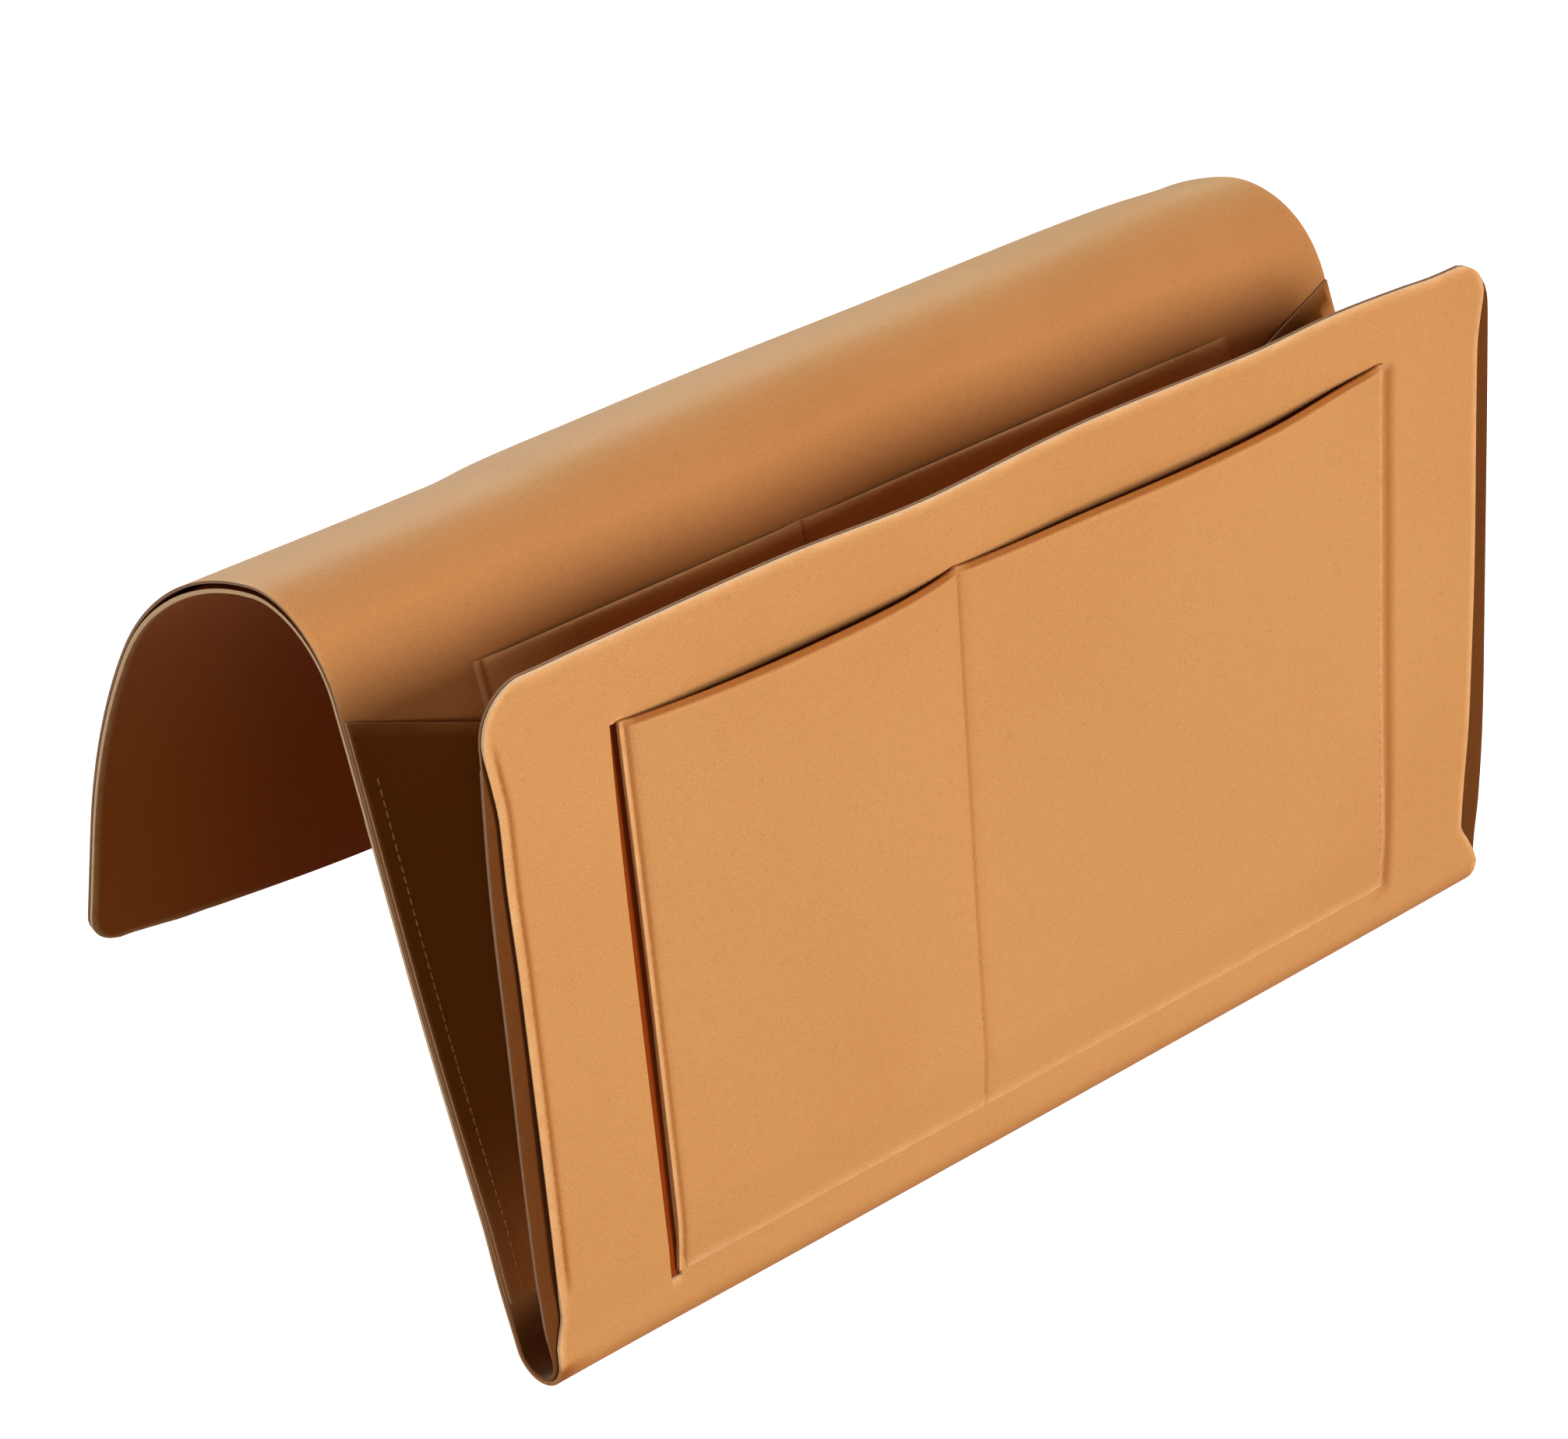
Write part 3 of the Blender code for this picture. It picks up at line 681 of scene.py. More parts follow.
@dataclass
class LeatherSheet:
    """A piece of sheet leather, cut flat to its columns and rows and bent to its place."""

    name: str
    columns: Sequence[float]
    rows: Sequence[float]
    place: Place
    facing: Vector
    hide: Hide
    thickness: float = 0.0010
    hole: Callable[[float, float], bool] | None = None
    butted: tuple[bool, bool] = (False, False)
    hinged: tuple[bool, bool] = (False, False)
    edge_band: float = 0.0028
    edge_round: float = 0.00030
    # How much painted shade each point gets: toward the finish's shade tone, and darkened by its multiplying
    # colour.
    shade: Callable[[float, float], float] | None = None
    creased: Callable[[float, float], float] | None = None

    def build(self, finishes: Finishes) -> bpy.types.Object:
        """Cuts, bends and thickens the sheet, and dresses it.

        Args:
            finishes: Where the materials come from.

        Returns:
            The sheet as a closed shell with rounded cut edges.
        """
        piece = self._cut()
        for leather in (self.hide.grain, self.hide.flesh, self.hide.edge):
            piece.data.materials.append(leather.material(finishes.groups))
        self._face_right_way(piece)
        self._thicken(piece)
        self._round_edges(piece)
        deselect_all()
        piece.select_set(True)
        bpy.context.view_layer.objects.active = piece
        bpy.ops.object.shade_smooth_by_angle(angle=radians(35))
        log.info("%s: %d faces", self.name, len(piece.data.polygons))
        return piece

    def _cut(self) -> bpy.types.Object:
        """A grid of the cut's columns and rows, with its holes cut out, laid in its place."""
        deselect_all()
        across, along = len(self.columns) - 1, len(self.rows) - 1
        bpy.ops.mesh.primitive_grid_add(x_subdivisions=across, y_subdivisions=along, size=1)
        piece = bpy.context.object
        piece.name = piece.data.name = self.name
        bpy.ops.object.mode_set(mode="EDIT")
        bm = bmesh.from_edit_mesh(piece.data)
        near = bm.verts.layers.float.new("edge_near")
        butt = bm.verts.layers.float.new("butted")
        # Painted shade: how far each point is turned toward its finish's shade tone, and how far it is
        # darkened.
        arm_side = bm.verts.layers.float.new("arm_side")
        creased = bm.verts.layers.float.new("creased")
        cut_out = []
        for quad in bm.faces:
            middle = quad.calc_center_median()
            column = int((middle.x + 0.5) * across)
            row = int((middle.y + 0.5) * along)
            x = (self.columns[column] + self.columns[column + 1]) / 2
            run = (self.rows[row] + self.rows[row + 1]) / 2
            quad.select = bool(self.hole and self.hole(x, run))
            if quad.select:
                cut_out.append(quad)
        bmesh.ops.delete(bm, geom=cut_out, context="FACES")
        for vert in bm.verts:
            column = round((vert.co.x + 0.5) * across)
            row = round((vert.co.y + 0.5) * along)
            x, run = self.columns[column], self.rows[row]
            # Painted shade: the darkened points also lose their rubbed edge colour.
            dark = self.creased(x, run) if self.creased else 0.0
            vert[near] = self._near_edge(x, run, vert.is_boundary) * (1 - dark)
            vert[butt] = float((row == 0 and self.butted[0]) or (row == along and self.butted[1])
                               or (column == 0 and self.hinged[0])
                               or (column == across and self.hinged[1]))
            vert[arm_side] = self.shade(x, run) if self.shade else 0.0
            vert[creased] = dark
            vert.co = self.place(x, run)
        bmesh.update_edit_mesh(piece.data)
        bpy.ops.object.mode_set(mode="OBJECT")
        return piece

    def _near_edge(self, x: float, run: float, on_boundary: bool) -> float:
        """1 on a cut edge, falling to 0 a band inside it."""
        gaps = []
        if not self.hinged[0]:
            gaps.append(x - self.columns[0])
        if not self.hinged[1]:
            gaps.append(self.columns[-1] - x)
        if not self.butted[0]:
            gaps.append(run - self.rows[0])
        if not self.butted[1]:
            gaps.append(self.rows[-1] - run)
        inner = 1.0 - min(1.0, min(gaps) / self.edge_band)
        return 1.0 if on_boundary and self.hole and self.hole(x, run) else inner

    def _face_right_way(self, piece: bpy.types.Object) -> None:
        """Turns the faces over if the middle one looks away from the side to be seen."""
        faces = piece.data.polygons
        middle = faces[len(faces) // 2]
        if middle.normal.dot(self.facing) < 0:
            bpy.ops.object.mode_set(mode="EDIT")
            bpy.ops.mesh.select_all(action="SELECT")
            bpy.ops.mesh.flip_normals()
            bpy.ops.object.mode_set(mode="OBJECT")

    def _thicken(self, piece: bpy.types.Object) -> None:
        """Gives the leather its thickness, half to each side, with flesh and edge finishes."""
        wall = piece.modifiers.new("leather", "SOLIDIFY")
        wall.thickness = self.thickness
        wall.offset = 0
        wall.use_even_offset = True
        wall.material_offset = Layer.FLESH.value
        wall.material_offset_rim = Layer.EDGE.value
        bpy.ops.object.modifier_apply(modifier=wall.name)

    def _round_edges(self, piece: bpy.types.Object) -> None:
        """Rounds the cut edges, and leaves those that butt against the next piece sharp."""
        bpy.ops.object.mode_set(mode="EDIT")
        bpy.ops.mesh.select_mode(type="EDGE")
        bpy.ops.mesh.select_all(action="DESELECT")
        bm = bmesh.from_edit_mesh(piece.data)
        butt = bm.verts.layers.float["butted"]
        for edge in bm.edges:
            rims = [quad.material_index == Layer.EDGE.value for quad in edge.link_faces]
            joined = all(vert[butt] > 0.5 for vert in edge.verts)
            edge.select = any(rims) and not all(rims) and not joined
        bm.select_flush_mode()
        bmesh.update_edit_mesh(piece.data)
        bpy.ops.mesh.bevel(offset=self.edge_round, segments=2, affect="EDGES", clamp_overlap=True)
        bpy.ops.object.mode_set(mode="OBJECT")


@dataclass
class Seam:
    """A row of single stitches, each one dipping into the leather at both ends."""

    name: str
    spots: Callable[[float], tuple[Vector, Vector, Vector]]
    start: float
    end: float
    pitch: float = 0.0034
    stitch: float = 0.0027
    width: float = 0.00055
    height: float = 0.00045

    def build(self, finishes: Finishes) -> bpy.types.Object:
        """Models one stitch and lays its copies along the seam.

        Args:
            finishes: Where the thread's material comes from.

        Returns:
            The seam's stitches as one object.
        """
        stitch = self._stitch()
        seam = bmesh.new()
        count = max(2, round((self.end - self.start) / self.pitch))
        for index in range(count):
            middle = self.start + (self.end - self.start) * (index + 0.5) / count
            place, along, out = self.spots(middle)
            across = out.cross(along).normalized()
            turn = Matrix((along, across, out)).transposed().to_4x4()
            copy = stitch.data.copy()
            copy.transform(Matrix.Translation(place) @ turn)
            seam.from_mesh(copy)
            bpy.data.meshes.remove(copy)
        piece = stitch
        piece.name = piece.data.name = self.name
        seam.to_mesh(piece.data)
        seam.free()
        piece.data.materials.append(finishes.thread.material())
        bpy.ops.object.shade_smooth()
        log.info("%s: %d stitches", self.name, count)
        return piece

    def _stitch(self) -> bpy.types.Object:
        """One stitch along X at the origin, drawn to a point at both ends and slightly arched."""
        deselect_all()
        bpy.ops.mesh.primitive_cylinder_add(vertices=8, radius=self.width / 2, depth=self.stitch,
                                            rotation=(0, pi / 2, 0))
        bpy.ops.object.transform_apply(location=True, rotation=True, scale=True)
        stitch = bpy.context.object
        bpy.ops.object.mode_set(mode="EDIT")
        bpy.ops.mesh.select_mode(type="EDGE")
        bpy.ops.mesh.select_all(action="DESELECT")
        bm = bmesh.from_edit_mesh(stitch.data)
        for edge in bm.edges:
            edge.select = abs(edge.verts[0].co.x - edge.verts[1].co.x) > self.stitch / 2
        bmesh.update_edit_mesh(stitch.data)
        bpy.ops.mesh.subdivide(number_cuts=5)
        bpy.ops.object.mode_set(mode="OBJECT")
        for vert in stitch.data.vertices:
            share = vert.co.x / (self.stitch / 2)
            girth = sqrt(max(0.0, 1 - abs(share) ** 3)) * 0.75 + 0.25
            vert.co.y *= girth
            vert.co.z *= girth * self.height / self.width
            vert.co.z -= self.height * 0.55 * share * share
        return stitch


@dataclass
class SheetCut:
    """How the drape's leather is cut: its width at each run, and the lines of fine columns."""

    drape: Drape
    hem_corner: float = 0.014
    panel_corner: float = 0.017
    left_recess: Points = (
        (-0.0240, 0.0), (0.0040, 0.0018), (0.0090, 0.0034), (0.0160, 0.0052), (0.1350, 0.0054),
        (0.1640, 0.0044), (0.1860, 0.0036), (0.1940, 0.0022), (0.2080, 0.0))
    right_recess: Points = (
        (-0.0010, 0.0), (0.0090, 0.0050), (0.0170, 0.0102), (0.0600, 0.0092), (0.1100, 0.0076),
        (0.1920, 0.0072), (0.2060, 0.0052), (0.2150, 0.0020), (0.2240, 0.0))
    edge_strip: float = 0.006
    give_strip: float = 0.035
    pocket_edge: float = 0.154
    slot_width: float = 0.004
    slot_foot: float = 0.0080
    seam_inset: float = 0.0031
    seam_foot: float = 0.028
    seam_head: float = 0.203
    right_reach: Points = (
        (-0.020, 0.0), (0.0, 0.0010), (0.022, 0.0026), (0.045, 0.0030), (0.062, 0.0042),
        (0.100, 0.0045), (0.200, 0.0018), (0.250, 0.0010), (0.284, 0.0028), (0.302, 0.0052),
        (0.330, 0.0070), (0.370, 0.0074), (0.480, 0.0074), (0.505, 0.0062))
    left_reach: Points = (
        (-0.0700, 0.0), (-0.0480, 0.0007), (-0.0270, 0.0005), (-0.0120, 0.0), (0.0, 0.0006),
        (0.0160, 0.0024), (0.0450, 0.0029), (0.1400, 0.0029), (0.1650, 0.0024),
        (0.1850, 0.0014), (0.2100, 0.0))
    right_strip: tuple[float, float] = (0.100, 0.200)
    left_strip: tuple[float, float] = (0.140, 0.200)
    flare_depth: float = 0.0010
    flare_strip: tuple[float, float] = (0.186, 0.200)
    flare_span: Span = (0.004, 0.035, 0.060, 0.130)
    edge_columns: tuple[float, ...] = (0, 0.0006, 0.0013, 0.0020, 0.0026, 0.0031, 0.0036,
                                       0.0042, 0.0050, 0.0060)
    line_columns: tuple[float, ...] = (-0.0010, -0.0005, 0, 0.0005, 0.0010)
    line_margin: float = 0.0022
    column_step: float = 0.0060

    def narrowed(self, side: int, run: float, ply: Ply) -> float:
        """How far the edge at a side lies inside the sheet's full width at a run."""
        gap = 0.0
        for distance, corner in ((run - self.drape.rear_end, self.hem_corner),
                                 (self.drape.panel_head - run, self.panel_corner)):
            if distance < corner:
                gap = corner - sqrt(max(0.0, corner ** 2 - (corner - distance) ** 2))
        if ply is Ply.LINING:
            recess = self.right_recess if side > 0 else self.left_recess
            gap += along_points(recess, run - self.drape.panel_foot)
        return gap

    def fitted(self, x: float, run: float, ply: Ply) -> float:
        """Where a flat column lies once the side edges are drawn in; pockets' columns stay."""
        side = 1 if x > 0 else -1
        gap = self.narrowed(side, run, ply)
        reach = abs(x)
        fixed = self.drape.half_width - self.give_strip
        strip = self.drape.half_width - self.edge_strip
        if reach > strip:
            reach -= gap
        elif reach > fixed:
            reach -= gap * (reach - fixed) / (strip - fixed)
        return reach * side + self.reach(x, run)

    def reach(self, x: float, run: float) -> float:
        """How far the leather near an end lies past its plain place, along the arm."""
        right = along_points(self.right_reach, run) * ease(*self.right_strip, x)
        height = run - self.drape.panel_foot
        left = along_points(self.left_reach, height) * ease(*self.left_strip, -x)
        return right - left

    def flare(self, x: float, run: float) -> float:
        """How far the back ply's left margin stands away from the front ply."""
        height = run - self.drape.panel_foot
        return self.flare_depth * ease(*self.flare_strip, -x) * hill(height, *self.flare_span)

    def columns(self, fine: Sequence[float] = ()) -> list[float]:
        """Columns across the full width, close together at the edges and at the fine lines."""
        half = self.drape.half_width
        edges = [half - gap for gap in self.edge_columns]
        lines = [line + shift for line in fine for shift in self.line_columns]
        inner = half - self.edge_columns[-1]
        spread = [x for x in spaced(-inner, inner, self.column_step)
                  if all(abs(x - line) > self.line_margin for line in lines)]
        return merged(edges, [-x for x in edges], lines, spread)

    def corner_rows(self, end: float, corner: float, way: int) -> list[float]:
        """Rows that follow a round corner up to the end of the sheet."""
        turns = [pi / 2 * index / 9 for index in range(10)]
        return [end + way * corner * (1 - sin(turn)) for turn in turns]

    def in_slot(self, x: float, height: float, top: float) -> bool:
        """Whether a place lies in the slot beside the front pocket's left edge."""
        beside = self.pocket_edge - 0.001 < -x < self.pocket_edge + self.slot_width
        return beside and self.slot_foot < height < top


@dataclass
class Stretch:
    """One length of the two-ply sheet, which bends across one joint."""

    name: str
    rows: Sequence[float]
    facing: Vector
    butted: tuple[bool, bool]
    nodes: Callable[[str], tuple[str, ...]]
    bodies: tuple[str, str]
    bend_start: Sequence[float]
    bend_end: Sequence[float]
    held: str
    beside: str
    fine: Sequence[float] = ()
    lining_hole: Callable[[float, float], bool] | None = None


@dataclass
class DrapePieces:
    """The two-ply sheet in three stretches, cut where a pocket or the crown hides the joint."""

    drape: Drape
    cut: SheetCut
    finishes: Finishes
    crown_cut: float = -0.047
    leg_cut_height: float = 0.170
    end_parting: float = 0.0012
    parting_strip: tuple[float, float] = (-0.200, -0.165)
    parting_span: Span = (-0.100, -0.035, 0.005, 0.040)
    seam_half: float = 0.0018
    rim_width: float = 0.0022
    right_seam_share: float = 0.3
    flap_bend: float = 0.015
    leg_bend: float = 0.012
    pocket_head: float = 0.1989
    groove: float = 0.00075
    trough: float = 0.00085
    rim: float = 0.00040
    slot_lean: float = 0.0014
    sheets: list[tuple[bpy.types.Object, tuple[float, float], str, Sequence[str]]] = field(
        default_factory=list)

    def build(self) -> None:
        """Builds both plies of each stretch."""
        self._rear()
        self._saddle()
        self._magazine()

    def _depth(self, x: float, run: float, ply: Ply) -> float:
        """Depth of a ply's middle, parted from the other ply at the left end of the arch."""
        thickness = self._thickness(ply)
        depth = (self.drape.inside + thickness / 2) * ply.value
        if ply is Ply.COVER:
            return depth + self.cut.flare(x, run)
        parting = 1 - ease(*self.parting_strip, x)
        return depth - self.end_parting * parting * hill(run, *self.parting_span)

    def _thickness(self, ply: Ply) -> float:
        """The lining is the thicker leather."""
        return self.drape.leather if ply is Ply.COVER else self.drape.lining

    def _place(self, ply: Ply) -> Place:
        """Where a flat point of a ply lies on the drape."""
        def spot(x: float, run: float) -> Vector:
            run_on = run + self.drape.slack.stretch(x, run, self.drape.panel_head)
            fitted = self.cut.fitted(x, run, ply)
            place = self.drape.at(x, run_on, self._depth(x, run, ply) + self._sunk(x, run, ply))
            place.x = fitted + (self._slot_lean(x, run) if ply is Ply.LINING else 0.0)
            return place
        return spot

    def _sunk(self, x: float, run: float, ply: Ply) -> float:
        """The groove that the stitching pulls into the front panel, and the full rim outside it."""
        if ply is Ply.COVER or run < self.drape.panel_foot:
            return 0.0
        inset = self.drape.half_width - abs(x)
        line = ease(self.seam_half, 0, abs(inset - self.cut.seam_inset - 0.0003))
        rim = sin(pi * inset / self.rim_width) if inset < self.rim_width else 0.0
        if x > 0:
            line, rim = line * self.right_seam_share, 0.0
        sunk = (self.groove * line - self.rim * rim) * self._on_seam(run)
        return sunk + self.trough * self._beside_pocket(x, run)

    def _beside_pocket(self, x: float, run: float) -> float:
        """The soft trough in the panel beside the front pocket's right edge, from 0 to 1."""
        near, far = self.cut.pocket_edge, self.cut.pocket_edge + self.cut.slot_width
        foot, head = self.drape.panel(self.cut.slot_foot), self.drape.panel(self.pocket_head)
        on_edge = hill(run, foot - 0.004, foot + 0.004, head - 0.002, head + 0.003)
        return hill(x, near - 0.0020, near - 0.0004, near + 0.0016, far - 0.0006) * on_edge

    def _lay(self, stretch: Stretch) -> None:
        """Builds both plies of a stretch and ties them to their nodes and bodies."""
        for ply in Ply:
            word = ply.name.lower()
            piece = self._sheet(stretch, ply)
            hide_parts(*stretch.nodes(word))
            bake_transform(piece, *stretch.bodies, start=stretch.bend_start, end=stretch.bend_end)
            flat = (2 * self.drape.half_width, stretch.rows[-1] - stretch.rows[0])
            self.sheets.append((piece, flat, stretch.held, [stretch.beside + "_leather_" + word]))

    def _sheet(self, stretch: Stretch, ply: Ply) -> bpy.types.Object:
        """Builds one ply of a stretch."""
        front = ply is Ply.LINING
        sheet = LeatherSheet(stretch.name + "_leather_" + ply.name.lower(),
                             self.cut.columns(stretch.fine), stretch.rows, self._place(ply),
                             stretch.facing * ply.value,
                             self.finishes.lining if front else self.finishes.cover,
                             self._thickness(ply), stretch.lining_hole if front else None,
                             stretch.butted, shade=self._shade if front else self._painted_slot_shade,
                             creased=self._creased if front else self._painted_fold_shade)
        return sheet.build(self.finishes)

    def _slot_lean(self, x: float, run: float) -> float:
        """How far the slot's outer line leans toward the pocket, most at its foot."""
        share = 1 - ease(0.0, self.pocket_head, run - self.drape.panel_foot)
        near, far = self.cut.pocket_edge, self.cut.pocket_edge + self.cut.slot_width
        return self.slot_lean * share * hill(-x, near - 0.001, far, far, far + 0.012)

    def _on_seam(self, run: float) -> float:
        """1 along the stitched stretch of the front panel's edges, fading out past its ends."""
        foot, head = self.drape.panel(self.cut.seam_foot), self.drape.panel(self.cut.seam_head)
        return hill(run, foot - 0.008, foot + 0.004, head - 0.004, head + 0.008)

    def _creased(self, x: float, run: float) -> float:
        """Painted shade on the lining: in the seam's groove, in the trough beside the pocket, deeper in the
        arch and at the fold.
        """
        if run < self.drape.panel_foot:
            worn = hill(run, self.drape.leg_foot - 0.080, self.drape.leg_foot - 0.020,
                        self.drape.panel_foot - 0.004, self.drape.panel_foot)
            arch = ease(-0.198, -0.110, x) * ease(-0.030, -0.150, run)
            return max(arch, worn * ease(-0.1900, -0.1985, x))
        inset = self.drape.half_width + x
        seam = ease(0.0016, 0.0003, abs(inset - self.cut.seam_inset - 0.0005)) * self._on_seam(run)
        return max(0.85 * seam, 0.75 * self._beside_pocket(x, run))

    def _shade(self, _x: float, run: float) -> float:
        """Painted shade: 1 where the lining faces the arm and lies in the drape's shade, falling to 0 round
        the bottom fold.
        """
        return 1 - ease(self.drape.leg_foot + 0.008, self.drape.panel_foot + 0.002, run)

    def _painted_slot_shade(self, x: float, run: float) -> float:
        """Painted shade: 1 on the cover behind the slot, whose floor lies in shade, else 0."""
        near, far = self.cut.pocket_edge, self.cut.pocket_edge + self.cut.slot_width
        foot = self.drape.panel_foot
        return hill(-x, near - 0.008, near - 0.004, far + 0.002, far + 0.010) * ease(
            foot - 0.004, foot + 0.002, run)

    def _painted_fold_shade(self, _x: float, run: float) -> float:
        """Painted shade: 1 on the cover in the bottom fold, where shade falls, and 0 beyond it."""
        foot, panel = self.drape.leg_foot, self.drape.panel_foot
        return hill(run, foot - 0.020, foot - 0.002, panel, panel + 0.014)

    def _slot_lines(self) -> list[float]:
        """The side lines of the slots beside the pockets."""
        near, far = self.cut.pocket_edge, self.cut.pocket_edge + self.cut.slot_width
        return [-far, 0.001 - near, near, far]

    def _rear(self) -> None:
        """The rear flap and the back of the saddle."""
        drape = self.drape
        rows = merged(self.cut.corner_rows(drape.rear_end, self.cut.hem_corner, 1),
                      spaced(drape.rear_end + self.cut.hem_corner, self.crown_cut, 0.0040),
                      [self.crown_cut - 0.001, self.crown_cut - 0.002])
        line, along, _ = drape.frame_at(drape.flap_line)
        self._lay(Stretch("rear_flap", rows, Vector((0, 1, 0.5)), (False, True),
                          lambda word: ("rear_flap_" + word, "saddle_" + word),
                          ("saddle", "rear_flap"), line + along * self.flap_bend,
                          line - along * self.flap_bend, "draped", "saddle"))

    def _saddle(self) -> None:
        """The crown, the front shoulder and the head of the leg."""
        drape = self.drape
        foot = drape.leg(self.leg_cut_height)
        rows = merged(spaced(self.crown_cut, 0.0, 0.0030), spaced(0.0, drape.leg_head, 0.0020),
                      [self.crown_cut + 0.001, self.crown_cut + 0.002],
                      spaced(drape.leg_head, foot, 0.0045))
        line, along, _ = drape.frame_at(drape.leg_line)
        self._lay(Stretch("saddle", rows, Vector((0, -0.3, 1)), (True, True),
                          lambda word: ("saddle_" + word, "front_leg_" + word),
                          ("saddle", "front_leg"), line - along * self.leg_bend,
                          line + along * self.leg_bend, "draped", "rear_flap"))

    def _panel_slot(self, x: float, run: float) -> bool:
        """Whether a place lies in the slot beside the front pocket."""
        return self.cut.in_slot(x, run - self.drape.panel_foot, self.pocket_head)

    def _magazine(self) -> None:
        """The foot of the leg, the bottom fold and the front panel."""
        drape, cut = self.drape, self.cut
        head = drape.leg(self.leg_cut_height)
        slot_marks = [drape.panel(cut.slot_foot), drape.panel(self.pocket_head)]
        ramps = [drape.panel(height) for height in (*spaced(0.010, 0.024, 0.002),
                                                    *spaced(0.196, 0.210, 0.0014))]
        rows = merged(spaced(head, drape.leg_foot, 0.0060),
                      spaced(drape.leg_foot, drape.panel_foot, 0.0010), slot_marks, ramps,
                      spaced(drape.panel_foot, drape.panel_head - cut.panel_corner, 0.0045),
                      cut.corner_rows(drape.panel_head, cut.panel_corner, -1), apart=0.0006)
        panel = {"cover": "front_panel_back", "lining": "front_panel_face"}
        self._lay(Stretch("magazine", rows, Vector((0, 1, 0)), (True, False),
                          lambda word: ("front_leg_" + word, "bottom_fold_" + word, panel[word]),
                          ("front_leg", "front_panel"), (0, -0.0880, -0.23), (0, -0.1030, -0.23),
                          "folded", "saddle", self._slot_lines(), self._panel_slot))


@dataclass
class Pocket:
    """A flat pocket sewn along its sides and at a divider, its mouth gaping between the seams."""

    name: str
    drape: Drape
    finishes: Finishes
    spot: Callable[[float, float, float], Vector]
    outward: int
    body: str
    facing: Vector
    foot: float = 0.010
    head: float = 0.1989
    left: float = -0.154
    right: float = 0.154
    divider: float = -0.030
    gape: float = 0.0078
    foot_sunk: float = 0.0
    seam_inset: float = 0.0020
    edge_lift: float = -0.0002
    groove: float = 0.00050
    head_rise: float = 0.0
    lip: float = 0.0030
    # Painted shade beside the three seams, on the mouth's lip and along the right edge.
    tones: tuple[float, float, float] = (0.85, 0.45, 0.15)
    left_lean: float = 0.0
    lip_painted_shade: float = 0.0
    rim_painted_shade: float = 0.5
    groove_half: float = 0.0018
    seam_end: float = 0.004
    mouth_rows: int = 13
    line_columns: tuple[float, ...] = (-0.0016, -0.0008, 0, 0.0008, 0.0016)
    line_margin: float = 0.0024
    edge_column: float = 0.0006

    def build(self) -> None:
        """Builds the pocket panel and its three seams."""
        seams = self._seam_lines()
        fine = [line + shift for line in seams for shift in self.line_columns]
        spread = [x for x in spaced(self.left, self.right, 0.0050)
                  if all(abs(x - line) > self.line_margin for line in seams)]
        edges = [self.left, self.left + self.edge_column, self.right - self.edge_column, self.right]
        columns = merged(edges, fine, spread)
        mouth = [self.head - self.lip * step / 6 for step in range(1, self.mouth_rows + 1)]
        rows = merged(spaced(self.foot, self.head, 0.0055),
                      spaced(self.foot, self.foot + 0.03, 0.002), mouth, apart=0.0001)
        sheet = LeatherSheet(self.name + "_leather", columns, rows, self._place, self.facing,
                             self.finishes.pocket, self.drape.lining, creased=self._creased)
        piece = sheet.build(self.finishes)
        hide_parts(self.name)
        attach(piece, self.body)
        for label, line in zip(("left", "divider", "right"), seams):
            seam = Seam(self.name + "_" + label + "_stitches", self._seam_spots(line),
                        self.foot + self.seam_end, self.head - self.seam_end)
            stitches = seam.build(self.finishes)
            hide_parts(self.name + "_" + label + "_thread")
            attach(stitches, self.body)

    def _seam_lines(self) -> tuple[float, float, float]:
        """X of the left seam, the divider and the right seam."""
        return self.left + self.seam_inset, self.divider, self.right - self.seam_inset

    def _swell(self, x: float) -> float:
        """How far the mouth gapes at x, from 0 at a seam to 1 in mid-compartment."""
        left, divider, right = self._seam_lines()
        for near, far in ((left, divider), (divider, right)):
            if near < x < far:
                share = (x - near) / (far - near)
                return sin(pi * share) ** 0.8
        return 0.0

    def _lift(self, x: float, height: float) -> float:
        """Height of the pocket's middle above the leather that it is sewn to."""
        share = (height - self.foot) / (self.head - self.foot)
        lift = self.drape.fit_gap + self.drape.lining / 2
        lift -= self.foot_sunk * (1 - ease(self.foot, self.foot + 0.022, height))
        lift += self.gape * self._swell(x) * ease(0.12, 1.05, share)
        for line in self._seam_lines():
            lift -= self.groove * max(0.0, 1 - abs(x - line) / self.groove_half)
        lift -= self.lip * (1 - cos(self._roll(height))) * self._swell(x)
        rim = min(x - self.left, self.right - x)
        return lift + self.edge_lift * (1 - ease(0, self.seam_inset, rim))

    def _creased(self, x: float, height: float) -> float:
        """Painted shade in the grooves beside the seams, on the mouth's rolled lip and along the right edge.
        """
        rolled = ease(0.22, 0.46, self._roll(height))
        lip = self.lip_painted_shade * min(1.0, 0.45 + 4 * self._swell(x)) * rolled
        seams = [tone * ease(0.0016, 0, abs(x - line - 0.0004))
                 for tone, line in zip(self.tones, self._seam_lines())]
        return max(lip, *seams, self.rim_painted_shade * ease(self.right - 0.0012, self.right - 0.0004, x))

    def _roll(self, height: float) -> float:
        """Angle that the mouth's lip has rolled back through at a height."""
        return max(0.0, height - self.head + self.lip) / self.lip

    def _place(self, x: float, height: float) -> Vector:
        """Where a flat point of the pocket lies."""
        rise = self.head_rise * (x - self.left) / (self.right - self.left)
        share = (height - self.foot) / (self.head - self.foot)
        ground = self.drape.outside if self.outward > 0 else self.drape.face
        depth = self.outward * (ground + self._lift(x, height))
        x -= self.left_lean * share * share * ease(self.left + 0.020, self.left, x)
        turn = self._roll(height)
        level = height - self.lip * (turn - sin(turn)) * self._swell(x)
        return self.spot(x, level + rise * share * share, depth)

